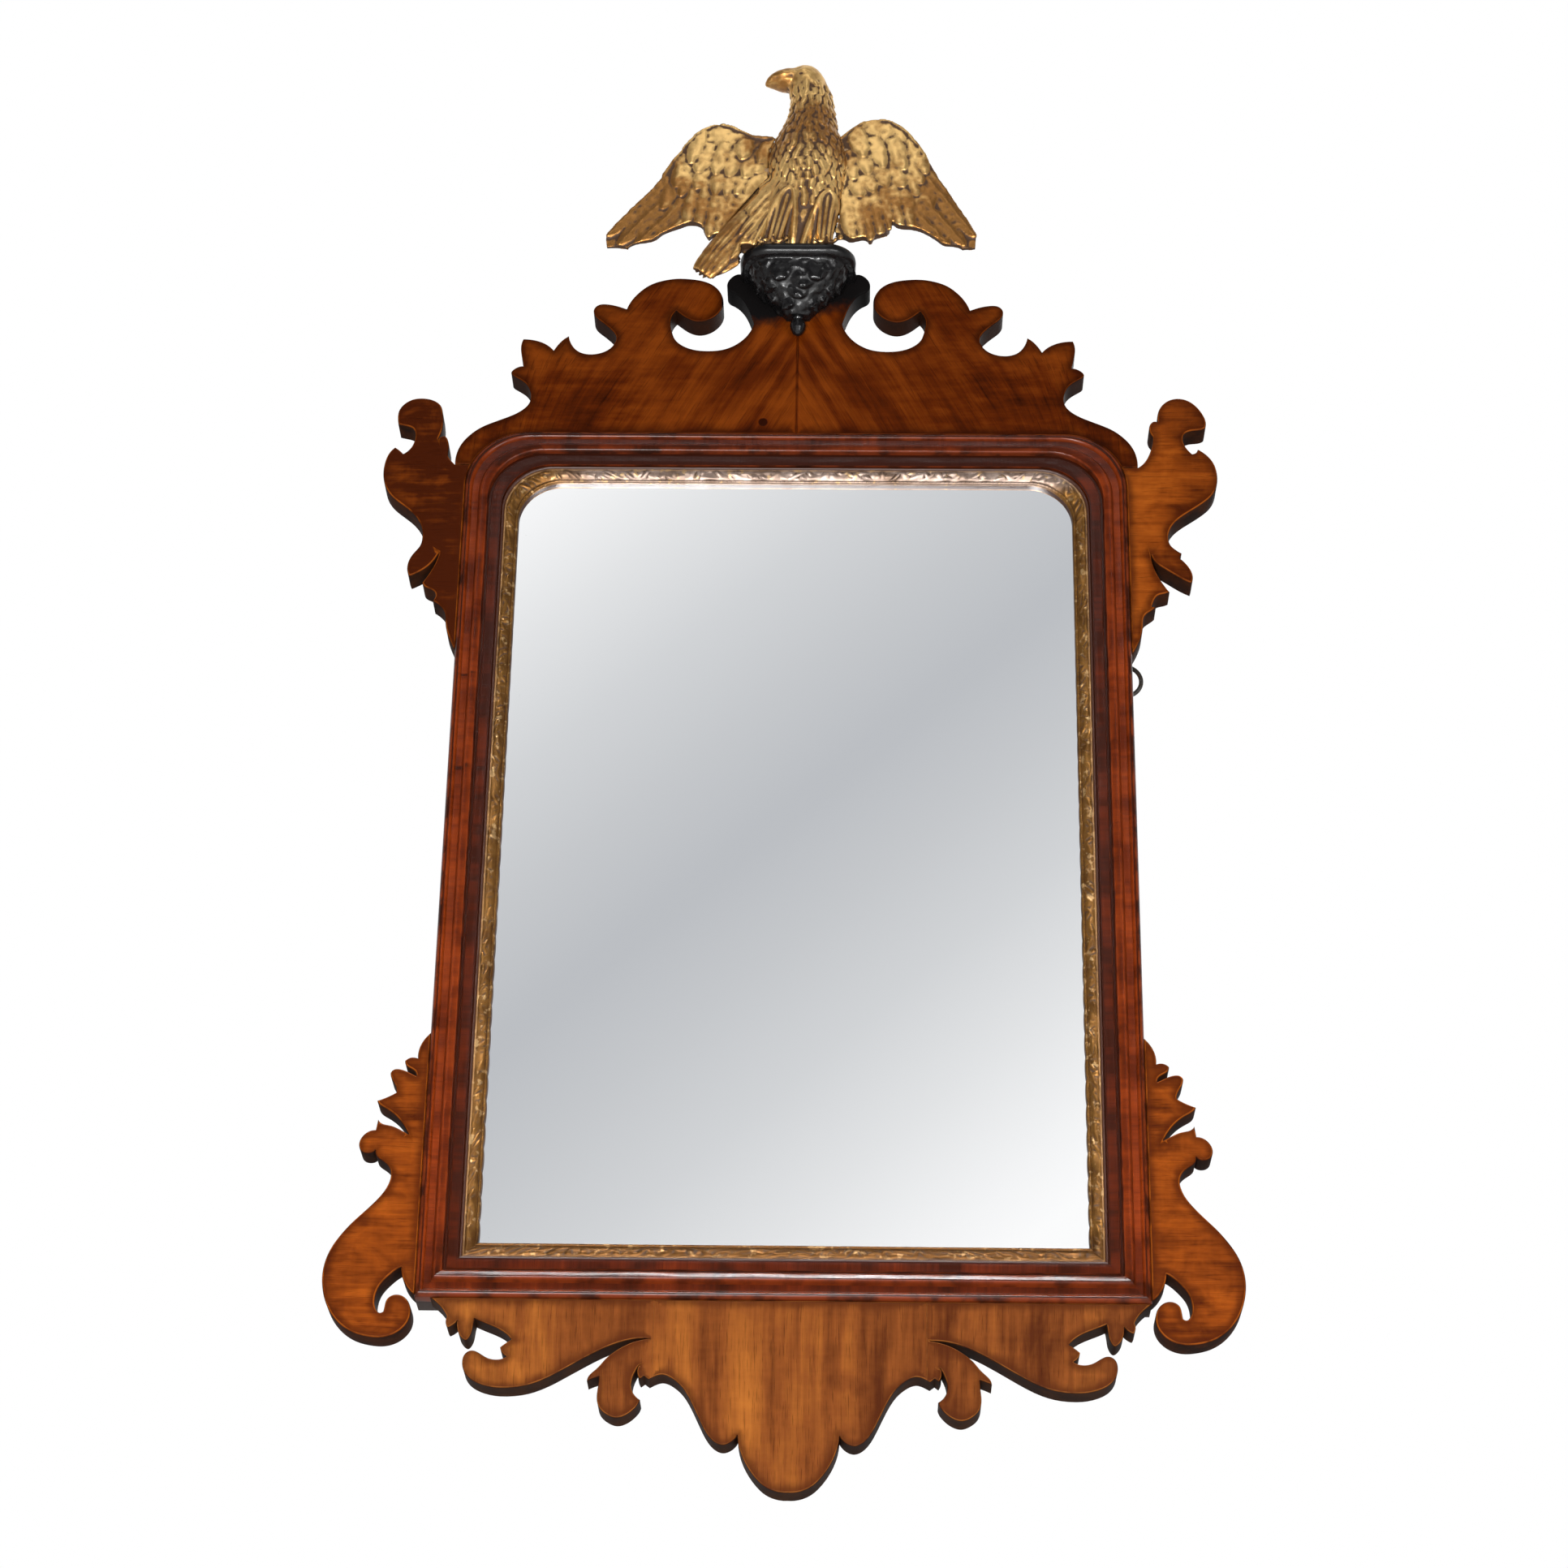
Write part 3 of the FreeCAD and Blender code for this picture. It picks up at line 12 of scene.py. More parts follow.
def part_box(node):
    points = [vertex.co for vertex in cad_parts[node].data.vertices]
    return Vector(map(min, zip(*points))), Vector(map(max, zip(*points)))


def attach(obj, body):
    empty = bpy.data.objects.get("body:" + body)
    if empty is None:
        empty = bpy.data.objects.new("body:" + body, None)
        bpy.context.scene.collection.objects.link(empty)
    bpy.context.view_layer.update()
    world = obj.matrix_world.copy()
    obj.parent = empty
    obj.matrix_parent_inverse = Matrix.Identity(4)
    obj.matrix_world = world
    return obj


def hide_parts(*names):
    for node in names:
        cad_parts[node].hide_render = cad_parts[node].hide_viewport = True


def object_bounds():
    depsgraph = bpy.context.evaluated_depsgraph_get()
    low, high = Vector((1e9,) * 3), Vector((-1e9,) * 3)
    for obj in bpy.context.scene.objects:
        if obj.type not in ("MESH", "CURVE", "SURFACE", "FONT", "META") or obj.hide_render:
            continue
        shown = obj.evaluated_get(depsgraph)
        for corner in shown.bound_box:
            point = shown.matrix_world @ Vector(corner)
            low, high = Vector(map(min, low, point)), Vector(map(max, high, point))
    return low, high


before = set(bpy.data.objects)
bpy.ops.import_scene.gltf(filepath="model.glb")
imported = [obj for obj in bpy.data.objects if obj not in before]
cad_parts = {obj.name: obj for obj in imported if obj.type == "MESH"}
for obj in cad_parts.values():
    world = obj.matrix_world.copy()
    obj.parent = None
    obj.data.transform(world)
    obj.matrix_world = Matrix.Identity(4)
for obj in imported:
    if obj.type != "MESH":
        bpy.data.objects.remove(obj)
cad_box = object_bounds()
BODY = "mirror"
MM = 0.001

# The photograph's camera: below the mirror, a little right of its middle, looking up.
CAMERA_AT = Vector((0.0414, -2.0720, -0.9906))
CAMERA_PITCH = math.radians(26.81)
CAMERA_YAW = math.radians(-1.28)
CAMERA_ROLL = math.radians(0.96)
CAMERA_LENS = 85.1

# The frame's outer half width and half height, the front of its core, and its mouldings' width and corners.
HALF_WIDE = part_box("moulding_right")[1].x
HALF_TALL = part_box("moulding_top")[1].z
CORE_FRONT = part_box("core_left_stile")[0].y
MOULDING_WIDE = HALF_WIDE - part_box("moulding_right")[0].x
CORNER_RADIUS = HALF_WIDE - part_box("moulding_top")[1].x
CORNER_SLOPE = 0.32

# The eagle's height, foot and middle plane, and the size and foot of its wings.
EAGLE_TALL = 0.150
EAGLE_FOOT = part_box("eagle_bracket")[1].z
EAGLE_Y = -0.055
WING_SPAN = -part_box("eagle_wing_left")[0].x
WING_TALL = 0.096
WING_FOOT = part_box("eagle_wing_left")[0].z

# Heights on the eagle: the foot and the top of its neck, and where its beak and its head begin.
NECK_LOW = 0.488
NECK_HIGH = 0.532
BEAK_LOW = 0.538
HEAD_LOW = 0.544


class Shade:
    """One shader value. Sums and products of shades add the maths nodes that work them out."""

    def __init__(self, finish, socket):
        self.finish = finish
        self.socket = socket

    def maths(self, operation, *values):
        return self.finish.node("ShaderNodeMath", {"operation": operation}, dict(enumerate(values)))

    def __add__(self, other):
        return self.maths("ADD", self, other)

    def __radd__(self, other):
        return self.maths("ADD", other, self)

    def __sub__(self, other):
        return self.maths("SUBTRACT", self, other)

    def __rsub__(self, other):
        return self.maths("SUBTRACT", other, self)

    def __mul__(self, other):
        return self.maths("MULTIPLY", self, other)

    def __rmul__(self, other):
        return self.maths("MULTIPLY", other, self)

    def __abs__(self):
        return self.maths("ABSOLUTE", self)

    def step(self, low, high):
        """A smooth rise from 0 at low to 1 at high."""
        sockets = {"Value": self, "From Min": low, "From Max": high}
        return self.finish.node("ShaderNodeMapRange", {"interpolation_type": "SMOOTHSTEP"}, sockets)

    def band(self, low, high, soft):
        """1 between low and high, with soft borders."""
        return self.step(low - soft, low + soft) * (1.0 - self.step(high - soft, high + soft))


class Finish:
    """A material whose look comes from nodes placed by the object's own coordinates."""

    def __init__(self, name):
        self.material = bpy.data.materials.new(name)
        self.material.use_nodes = True
        self.tree = self.material.node_tree
        self.shader = self.tree.nodes["Principled BSDF"]

    def feed(self, socket, value):
        if isinstance(value, Shade):
            self.tree.links.new(value.socket, socket)
        else:
            socket.default_value = value

    def node(self, kind, settings=None, sockets=None, output=0):
        """Add a node: its settings first, then the values or links of its sockets."""
        node = self.tree.nodes.new(kind)
        for key, value in (settings or {}).items():
            if key == "stops":
                self.set_stops(node.color_ramp, value)
            else:
                setattr(node, key, value)
        for key, value in (sockets or {}).items():
            self.feed(node.inputs[key], value)
        return Shade(self, node.outputs[output])

    def set_stops(self, ramp, stops):
        while len(ramp.elements) < len(stops):
            ramp.elements.new(1.0)
        for element, (place, colour) in zip(ramp.elements, stops):
            element.position = place
            element.color = (*colour, 1.0)

    def place(self):
        """The object's own coordinates, in metres, as x, y and z."""
        where = self.node("ShaderNodeTexCoord", None, None, "Object")
        return [self.node("ShaderNodeSeparateXYZ", None, {0: where}, axis) for axis in "XYZ"]

    def facing(self):
        """The surface's direction, as x, y and z."""
        normal = self.node("ShaderNodeNewGeometry", None, None, "Normal")
        return [self.node("ShaderNodeSeparateXYZ", None, {0: normal}, axis) for axis in "XYZ"]

    def carved(self, name):
        """A number that a mesh carries on its points, such as how deep in the carving a point lies."""
        return self.node("ShaderNodeAttribute", {"attribute_name": name}, None, "Fac")

    def cloud(self, x, y, z, detail=3.0, roughness=0.5, distortion=0.0):
        """Noise from 0 to 1 at a scale set by how much the coordinates are stretched."""
        return self.node("ShaderNodeTexNoise", None, {
            "Vector": self.node("ShaderNodeCombineXYZ", None, {"X": x, "Y": y, "Z": z}),
            "Scale": 1.0,
            "Detail": detail,
            "Roughness": roughness,
            "Distortion": distortion,
        })

    def mottle(self, place, scale, detail, roughness):
        """Noise of one size in all directions, with about so many patches to the metre."""
        return self.cloud(*(axis * scale for axis in place), detail, roughness)

    def ramp(self, amount, *stops):
        return self.node("ShaderNodeValToRGB", {"stops": stops}, {"Fac": amount})

    def mix(self, amount, first, second, blend="MIX"):
        first = first if isinstance(first, Shade) else (*first, 1.0)
        second = second if isinstance(second, Shade) else (*second, 1.0)
        settings = {"data_type": "RGBA", "blend_type": blend}
        return self.node("ShaderNodeMix", settings, {0: amount, 6: first, 7: second}, 2)

    def bump(self, height, depth):
        sockets = {"Height": height, "Strength": 1.0, "Distance": depth}
        return self.node("ShaderNodeBump", None, sockets)

    def set(self, sockets):
        """Set the shader's own sockets and return the material."""
        for key, value in sockets.items():
            if key.endswith("Color") and not isinstance(value, Shade):
                value = (*value, 1.0)
            self.feed(self.shader.inputs[key], value)
        return self.material


# Dark of faces turned from the front: stained wood on the boards' sides, painted shade on the mouldings'
# slopes and grooves.
EDGE_STAIN_AND_SHADE = (0.0085, 0.0042, 0.0028)
BLACK_PAINT = (0.004, 0.0035, 0.0035)


def wood(name, tones, grain, figure, streak=260.0, edge_stain_and_shade=1.0, gloss=0.34, sheen=0.022, painted=None):
    """Waxed mahogany. The grain gives places across and along the fibres, the figure a broad lightness. Faces
    turned from the front are darker, stained on the boards' sides and painted shade on the mouldings' slopes
    and grooves; rounded edges are lighter, partly rubbed wear and partly a painted highlight.
    """
    finish = Finish(name)
    x, y, z = finish.place()
    across, along = grain(finish, x, y, z)
    wander = finish.cloud(across * 14.0, y * 9.0, along * 5.0, 2.0)
    across = across + (wander - 0.5) * 0.012
    broad = finish.cloud(across * 38.0, y * 30.0, along * 6.0, 3.0, 0.55)
    streaks = finish.cloud(across * streak, y * 90.0, along * 9.0, 4.0, 0.6)
    pores = finish.cloud(across * 1900.0, y * 900.0, along * 75.0, 2.0, 0.5).step(0.56, 0.72)
    ripple = finish.cloud(across * 22.0, y * 18.0, along * 330.0, 2.0, 0.45)
    amount = broad * 0.60 + streaks * 0.40 + ripple * 0.06 - 0.03
    amount = amount + figure(finish, x, y, z)
    dark, middle, light = tones
    colour = finish.ramp(amount, (0.27, dark), (0.5, middle), (0.76, light))
    colour = finish.mix(pores * 0.45, colour, [tone * 0.35 for tone in dark])
    front = 0.0 - finish.facing()[1]
    # Faces turned from the front darken: stained on the boards' sides, painted shade on the mouldings' slopes
    # and grooves.
    edge = 1.0 - front.step(0.25, 0.75)
    grime = finish.mottle((x, y, z), 60.0, 3.0, 0.6)
    rim = (finish.carved("rim") + (grime - 0.5) * 0.9).step(0.12, 0.95)
    colour = finish.mix(rim * 0.78, colour, dark)
    # Rounded edges lighten: partly rubbed wear, partly a painted highlight where they would catch the light.
    rubbed = (1.0 - front.step(0.93, 0.985)) * grime.step(0.35, 0.6)
    colour = finish.mix(rubbed * 0.60, colour, light)
    colour = finish.mix(edge * (edge_stain_and_shade - grime * 0.15), colour, EDGE_STAIN_AND_SHADE)
    if painted:
        colour = finish.mix(painted(finish, x, y, z), colour, BLACK_PAINT)
    rough = gloss + streaks * 0.10 + edge * 0.18 + grime * 0.08
    height = 0.6 * streaks - pores
    return finish.set({
        "Base Color": colour,
        "Roughness": rough,
        "Specular IOR Level": sheen,
        "Normal": finish.bump(height, 0.000018),
    })


def upright_grain(finish, x, y, z):
    return x, z


def level_grain(finish, x, y, z):
    return z, x


# The heights of the two joints between the back boards, their half width and their soft borders.
BOARD_JOINTS = [corner.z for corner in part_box("backboard_middle")]
JOINT_HALF = 0.0004
JOINT_SOFT = 0.0002


def board_grain(finish, x, y, z):
    """Level grain that starts afresh in each of the three back boards."""
    lower, upper = (z.step(joint - JOINT_SOFT, joint + JOINT_SOFT) for joint in BOARD_JOINTS)
    board = lower + upper
    return z + board * 0.43, x + board * 0.71


def board_joints(finish, x, y, z):
    """Dark joints between the back boards."""
    lower, upper = (z.band(joint - JOINT_HALF, joint + JOINT_HALF, JOINT_SOFT) for joint in BOARD_JOINTS)
    return lower + upper


# How far in from the core's outer faces its darkening begins, and where it is full: stained wood, and painted
# shade where the frame shows beside the moulding.
STAIN_AND_SHADE_DEEP = 0.0020
STAIN_AND_SHADE_FULL = 0.0005


def core_outside_stain_and_shade(finish, x, y, z):
    """The outer faces of the softwood frame, which were stained with the mahogany, darkened too as painted
    shade where the frame shows beside the moulding.
    """
    beside = abs(x).step(HALF_WIDE - STAIN_AND_SHADE_DEEP, HALF_WIDE - STAIN_AND_SHADE_FULL)
    above = abs(z).step(HALF_TALL - STAIN_AND_SHADE_DEEP, HALF_TALL - STAIN_AND_SHADE_FULL)
    return beside + above


def spot(x, z, across, up, size):
    """A soft round patch of the given size about one place on the front."""
    aside = x - across
    above = z - up
    return 1.0 - (aside * aside + above * above).step(size * size * 0.1, size * size)


# How far the crest's figure leans out as it falls, and the height of the frame that it stands on.
CREST_LEAN = 0.52
CREST_SEAT = HALF_TALL
# Marks in the veneers: the place across and up, and the size, of the crest's knot and the apron's smudges.
CREST_KNOT = (-0.0217, 0.3024, 0.0035)
APRON_SMUDGES = ((0.034, -0.341, 0.009), (0.044, -0.345, 0.007))


def crest_grain(finish, x, y, z):
    """Grain that fans out downwards from the seam, alike on both halves."""
    out = abs(x)
    lean = CREST_LEAN - 0.45 * out.step(0.09, 0.21)
    return out + (z - CREST_SEAT) * lean, z


def crest_figure(finish, x, y, z):
    """Dark and light feathers that fan out from the seam, and a level ripple farther out."""
    out = abs(x) + (z - CREST_SEAT) * CREST_LEAN
    near = 1.0 - abs(x).step(0.03, 0.13)
    feathers = (finish.cloud(out * 55.0, 0.0, z * 7.0, 3.0, 0.6, 0.6) - 0.5) * (0.30 + near * 0.70)
    ripple = (finish.cloud(x * 34.0, 2.0, z * 130.0, 3.0, 0.6) - 0.5) * (0.55 - near * 0.35)
    patches = finish.cloud(x * 24.0, 7.0, z * 24.0, 2.0, 0.5) - 0.5
    glow = (1.0 - abs(x).step(0.008, 0.045)) * (1.0 - (z - CREST_SEAT).step(0.020, 0.062))
    left = 1.0 - x.step(-0.10, -0.02)
    marks = (1.0 - abs(x).step(0.0004, 0.0014)) * 0.22 + spot(x, z, *CREST_KNOT) * 0.6
    high = z.step(0.335, 0.358)
    return feathers + ripple + patches * 0.5 + glow * 0.10 + left * 0.05 + high * 0.10 + 0.03 - marks


# Half the width of the paint on the crest's neck, and the heights where it begins and is full.
PAINT_HALF = 0.050
PAINT_LOW = 0.366
PAINT_FULL = 0.380


def neck_paint(finish, x, y, z):
    """Black paint round the bracket, where the crest's neck carries it, a little lower at the left."""
    uneven = finish.mottle((x, y, z), 160.0, 2.0, 0.5) * 0.014
    lower_left = x.step(-0.02, 0.04) * 0.012
    neck = 1.0 - abs(x).step(PAINT_HALF, PAINT_HALF + MM)
    return neck * (z - uneven - lower_left).step(PAINT_LOW, PAINT_FULL)


def apron_figure(finish, x, y, z):
    """A golden centre between redder wings, with a dark streak right of the middle."""
    golden = 1.0 - abs(x + 0.022).step(0.020, 0.075)
    streak = 1.0 - abs(x - 0.046 - (z + 0.34) * 0.12).step(0.006, 0.030)
    fan = x - x * (z + 0.29) * 1.6
    clouds = finish.cloud(fan * 40.0, 3.0, z * 7.0, 3.0, 0.6, 0.5) - 0.5
    mottle = finish.cloud(x * 60.0, 8.0, z * 75.0, 3.0, 0.6) - 0.5
    larger, smaller = (spot(x, z, *smudge) for smudge in APRON_SMUDGES)
    broad = clouds * 0.75 + mottle * 0.22 + golden * 0.05
    return broad - streak * 0.09 - x * 0.30 - (larger + smaller) * 0.06 - 0.02


def ear_figure(finish, x, y, z):
    """Level ripples that come and go among mottled patches."""
    ripples = finish.cloud(x * 26.0, 0.0, z * 150.0, 2.0, 0.55) - 0.5
    patches = finish.cloud(x * 48.0, 5.0, z * 60.0, 3.0, 0.6, 0.5) - 0.5
    return ripples * 0.34 + patches * 0.5 - 0.05


def upper_ear_figure(finish, x, y, z):
    """The left ear is darker, and the right one golden near the frame."""
    right = x.step(-0.05, 0.05)
    golden = 1.0 - (x - 0.208).step(0.0, 0.05)
    return ear_figure(finish, x, y, z) - 0.19 + right * 0.16 + right * golden * 0.20


# Bands across the mouldings in shares of their width from the outer edge (a painted highlight on the bead,
# painted shade in the groove, on the flat and at the edges), and the heights of two cracks.
BEAD_SHARES = 0.07, 0.50
GROOVE_SHARES = 0.64, 0.735
FLAT_SHARES = 0.735, 0.97
OUTER_SHADE_SHARES = -0.10, 0.12
INNER_SHADE_SHARES = 0.97, 1.10
FINE_CRACK = 0.1138, 0.1150
WIDE_CRACK = 0.0480, 0.0500


def moulding_figure(finish, x, y, z):
    """Short bands across the mouldings, a painted highlight on the bead, painted shade in the groove, on the
    flat, at the edges and over the top and bottom lengths, the bottom flat painted lighter, and two cracks
    across the left one.
    """
    inset = finish.carved("inset")
    bands = finish.cloud(x * 45.0, 0.0, z * 45.0, 2.0, 0.5) - 0.5
    # The bead painted lighter: a painted highlight.
    bead_highlight = inset.band(*BEAD_SHARES, 0.05)
    flat = inset.band(*FLAT_SHARES, 0.02)
    # Painted shade along the outer and inner edges and in the groove.
    edges = inset.band(*OUTER_SHADE_SHARES, 0.04) + inset.band(*INNER_SHADE_SHARES, 0.02)
    groove_and_edge_shade = inset.band(*GROOVE_SHARES, 0.02) + edges
    cracks = z.band(*FINE_CRACK, 0.0005) + z.band(*WIDE_CRACK, 0.0010)
    left = 1.0 - x.step(-0.150, -0.140)
    # Painted shade by length: the top length darker, and the bottom length darker with its flat lighter.
    above = z.step(0.255, 0.272)
    below = 1.0 - z.step(-0.272, -0.255)
    shade = groove_and_edge_shade * 0.5 + flat * (0.16 - below * 0.22) + cracks * left * 0.4 + above * 0.18 + below * 0.17
    return bands * 0.45 + bead_highlight * 0.10 - shade


PINE_LIGHT = (0.30, 0.19, 0.095)
PINE_DARK = (0.17, 0.095, 0.042)
# Dark of the stained faces and the board joints, and of the painted shade beside the moulding.
PINE_STAIN_AND_SHADE = (0.016, 0.0055, 0.0026)


def pine(name, grain, stained=None):
    """Old softwood with its year rings and brown dust, and dark where it is stained, the dark on the frame's
    outer faces partly painted shade.
    """
    finish = Finish(name)
    x, y, z = finish.place()
    across, along = grain(finish, x, y, z)
    across = across + (finish.cloud(across * 12.0, y * 10.0, along * 3.0, 2.0) - 0.5) * 0.03
    rings = finish.cloud(across * 210.0, y * 150.0, along * 3.0, 2.0, 0.4)
    fibres = finish.cloud(across * 1500.0, y * 1500.0, along * 30.0, 2.0, 0.6)
    dust = finish.mottle((x, y, z), 11.0, 4.0, 0.6)
    colour = finish.ramp(rings * 0.8 + fibres * 0.2, (0.35, PINE_DARK), (0.62, PINE_LIGHT))
    colour = finish.mix(dust.step(0.42, 0.72) * 0.55, colour, [tone * 0.35 for tone in PINE_DARK])
    if stained:
        colour = finish.mix(stained(finish, x, y, z), colour, PINE_STAIN_AND_SHADE)
    return finish.set({
        "Base Color": colour,
        "Roughness": 0.72 + fibres * 0.15,
        "Normal": finish.bump(rings * 0.4 + fibres, 0.00012),
    })


def eagle_brown(finish, x, y, z):
    """Where the eagle's gold is browner: its neck and thighs, and its wings' lower parts and tips."""
    wing = abs(x).step(0.030, 0.046)
    low = 1.0 - (z - WING_FOOT).step(0.26 * WING_TALL, 0.78 * WING_TALL)
    tip = abs(x).step(0.070, 0.092)
    neck = z.band(NECK_LOW, NECK_HIGH, 0.012)
    patches = finish.mottle((x, y, z), 60.0, 4.0, 0.65) - 0.5
    beak = (1.0 - x.step(-0.010, -0.002)) * z.step(BEAK_LOW, BEAK_LOW + 0.007)
    body = (1.0 - wing) * (0.28 + neck * 0.58) + beak * 0.45
    thigh = (1.0 - wing) * (1.0 - (z - EAGLE_FOOT).step(0.028, 0.046))
    return wing * (0.22 + low * 0.55 + tip * 0.50) + body + thigh * 0.20 + patches * 1.7


BRIGHT_GOLD = (0.83, 0.53, 0.195)
BROWN_GOLD = (0.33, 0.150, 0.038)
# Dark of the grime in the hollows and of the painted shade.
GOLD_GRIME_AND_SHADE = (0.048, 0.020, 0.006)


def eagle_gilding():
    """Burnished and worn gold leaf, brown in the hollows of the carving, with painted shade along its outer
    edges and on faces turned down.
    """
    finish = Finish("worn_gold")
    x, y, z = finish.place()
    hollow = finish.carved("hollow")
    rub = finish.mottle((x, y, z), 95.0, 4.0, 0.62)
    speck = finish.mottle((x, y, z), 800.0, 3.0, 0.6)
    raised = 1.0 - hollow.step(0.0, 0.24)
    brown = eagle_brown(finish, x, y, z) + (rub - 0.5) * 0.8 - raised * 0.20
    leaf = finish.mix(brown.step(0.0, 0.9), BRIGHT_GOLD, BROWN_GOLD)
    # Painted shade: darker where the gold turns away from the front and where it faces down, less so on the
    # head.
    ahead = 0.0 - finish.facing()[1]
    edge = 1.0 - ahead.step(0.05, 0.42)
    under = (0.0 - finish.facing()[2]).step(0.55, 0.92)
    below_head = 1.0 - z.step(NECK_HIGH, HEAD_LOW) * 0.7
    shaded = (under * 0.25 + edge * 0.45) * below_head
    # Grime in the hollows of the carving, together with the painted shade.
    grime = (hollow + shaded + (speck - 0.5) * 0.4).step(0.24, 0.76)
    return finish.set({
        "Base Color": finish.mix(grime, leaf, GOLD_GRIME_AND_SHADE),
        "Metallic": 0.85 - grime * 0.65,
        "Roughness": 0.30 + rub * 0.14 + grime * 0.30,
        "Normal": finish.bump(speck * 0.6 + rub, 0.00013),
    })


SLIP_GOLD = (0.25, 0.116, 0.026)
SLIP_SILVER = (0.34, 0.262, 0.222)
WORN_SLIP_GOLD = (0.092, 0.037, 0.0072)
WORN_SLIP_SILVER = (0.15, 0.096, 0.066)
SLIP_FLECKS = (0.52, 0.335, 0.15)
SLIP_LINE = (0.44, 0.25, 0.115)
SLIP_GRIME = (0.046, 0.018, 0.0045)
SLIP_STAIN = (0.034, 0.0075, 0.0018)
# Where the slip's stained outside ends and its pale line runs, in shares of the moulding's width.
STAIN_END_SHARES = 1.080, 1.092
PALE_LINE_SHARES = 1.095, 1.125


def slip_gilding():
    """The slip's worn gilding, silvery along the top, with its outside stained brown up to a pale line."""
    finish = Finish("slip_gilding")
    x, y, z = finish.place()
    hollow = finish.carved("hollow")
    inset = finish.carved("inset")
    wear = finish.mottle((x, y, z), 70.0, 3.0, 0.6)
    speck = finish.mottle((x, y, z), 800.0, 3.0, 0.6)
    fleck = finish.mottle((x, y, z), 240.0, 2.0, 0.5).step(0.58, 0.68)
    top = z.step(0.250, 0.262)
    bottom = 1.0 - z.step(-0.262, -0.245)
    silver = top * x.step(-0.165, -0.125)
    bright = finish.mix(silver, SLIP_GOLD, SLIP_SILVER)
    worn = finish.mix(silver, WORN_SLIP_GOLD, WORN_SLIP_SILVER)
    # Along the bottom the slip is darker, with fewer flecks and a fainter pale line.
    leaf = finish.mix((wear * 1.8 - 0.4 + bottom * 0.7).step(0.0, 1.0), bright, worn)
    leaf = finish.mix(fleck * (0.65 - bottom * 0.4), leaf, SLIP_FLECKS)
    line = inset.band(*PALE_LINE_SHARES, 0.010) * (1.0 - bottom * 0.6)
    leaf = finish.mix(line * 0.55, leaf, SLIP_LINE)
    grime = (hollow + (speck - 0.5) * 0.5).step(0.28, 0.90)
    colour = finish.mix(grime, leaf, SLIP_GRIME)
    outside = 1.0 - inset.step(*STAIN_END_SHARES)
    return finish.set({
        "Base Color": finish.mix(outside, colour, SLIP_STAIN),
        "Metallic": (0.85 - grime * 0.60) * (1.0 - outside),
        "Roughness": 0.36 + wear * 0.12 + grime * 0.30,
        "Normal": finish.bump(speck * 0.6 + wear, 0.00013),
    })


EBONY_BLACK = (0.0035, 0.0032, 0.0034)
EBONY_RUBBED = (0.010, 0.008, 0.007)


def ebony_gloss():
    """Black polish over carving, rubbed brown in patches."""
    finish = Finish("ebonised_polish")
    x, y, z = finish.place()
    hollow = finish.carved("hollow")
    rub = finish.mottle((x, y, z), 160.0, 4.0, 0.6)
    return finish.set({
        "Base Color": finish.mix(rub.step(0.55, 0.8) * 0.5, EBONY_BLACK, EBONY_RUBBED),
        "Roughness": 0.16 + rub * 0.14 + hollow * 0.3,
        "Specular IOR Level": 0.3,
        "Normal": finish.bump(rub, 0.00018),
    })


BARE_IRON = (0.09, 0.085, 0.08)
DARK_IRON = (0.055, 0.045, 0.038)
RUST = (0.13, 0.055, 0.025)


def old_iron():
    """Dark forged iron with a little rust and bare metal."""
    finish = Finish("old_iron")
    rust = finish.mottle(finish.place(), 420.0, 4.0, 0.6)
    return finish.set({
        "Base Color": finish.ramp(rust, (0.35, BARE_IRON), (0.55, DARK_IRON), (0.72, RUST)),
        "Metallic": 0.9 - rust.step(0.55, 0.75) * 0.6,
        "Roughness": 0.38 + rust * 0.3,
        "Normal": finish.bump(rust, 0.00012),
    })


SILVER = (0.955, 0.96, 0.965)
LOST_SILVER = (0.25, 0.22, 0.19)
# How far out from the middle the glass starts to lose its silver.
GLASS_RIM = 0.164


def silvered_glass():
    """Clear mirror plate with the faint haze of old silvering at its edges."""
    finish = Finish("silvered_glass")
    x, y, z = finish.place()
    haze = finish.cloud(x * 9.0, y, z * 9.0, 3.0, 0.55)
    rim = (abs(x) - GLASS_RIM).step(0.0, 0.02)
    spots = finish.cloud(x * 300.0, y, z * 300.0, 3.0, 0.6).step(0.68, 0.8) * rim
    return finish.set({
        "Base Color": finish.mix(spots * 0.5, SILVER, LOST_SILVER),
        "Metallic": 1.0,
        "Roughness": 0.012 + haze * 0.012,
    })


# Dark, middle and light tones of the mahogany, and the mouldings' own polish.
CREST_TONES = (0.0150, 0.0020, 0.0001), (0.062, 0.0092, 0.0004), (0.132, 0.0260, 0.0018)
APRON_TONES = (0.042, 0.0095, 0.0024), (0.116, 0.0320, 0.0070), (0.222, 0.0720, 0.0120)
EAR_TONES = (0.036, 0.0058, 0.0008), (0.142, 0.0285, 0.0026), (0.270, 0.0640, 0.0062)
MOULDING_TONES = (0.022, 0.0032, 0.0004), (0.068, 0.0088, 0.0012), (0.175, 0.0260, 0.0035)
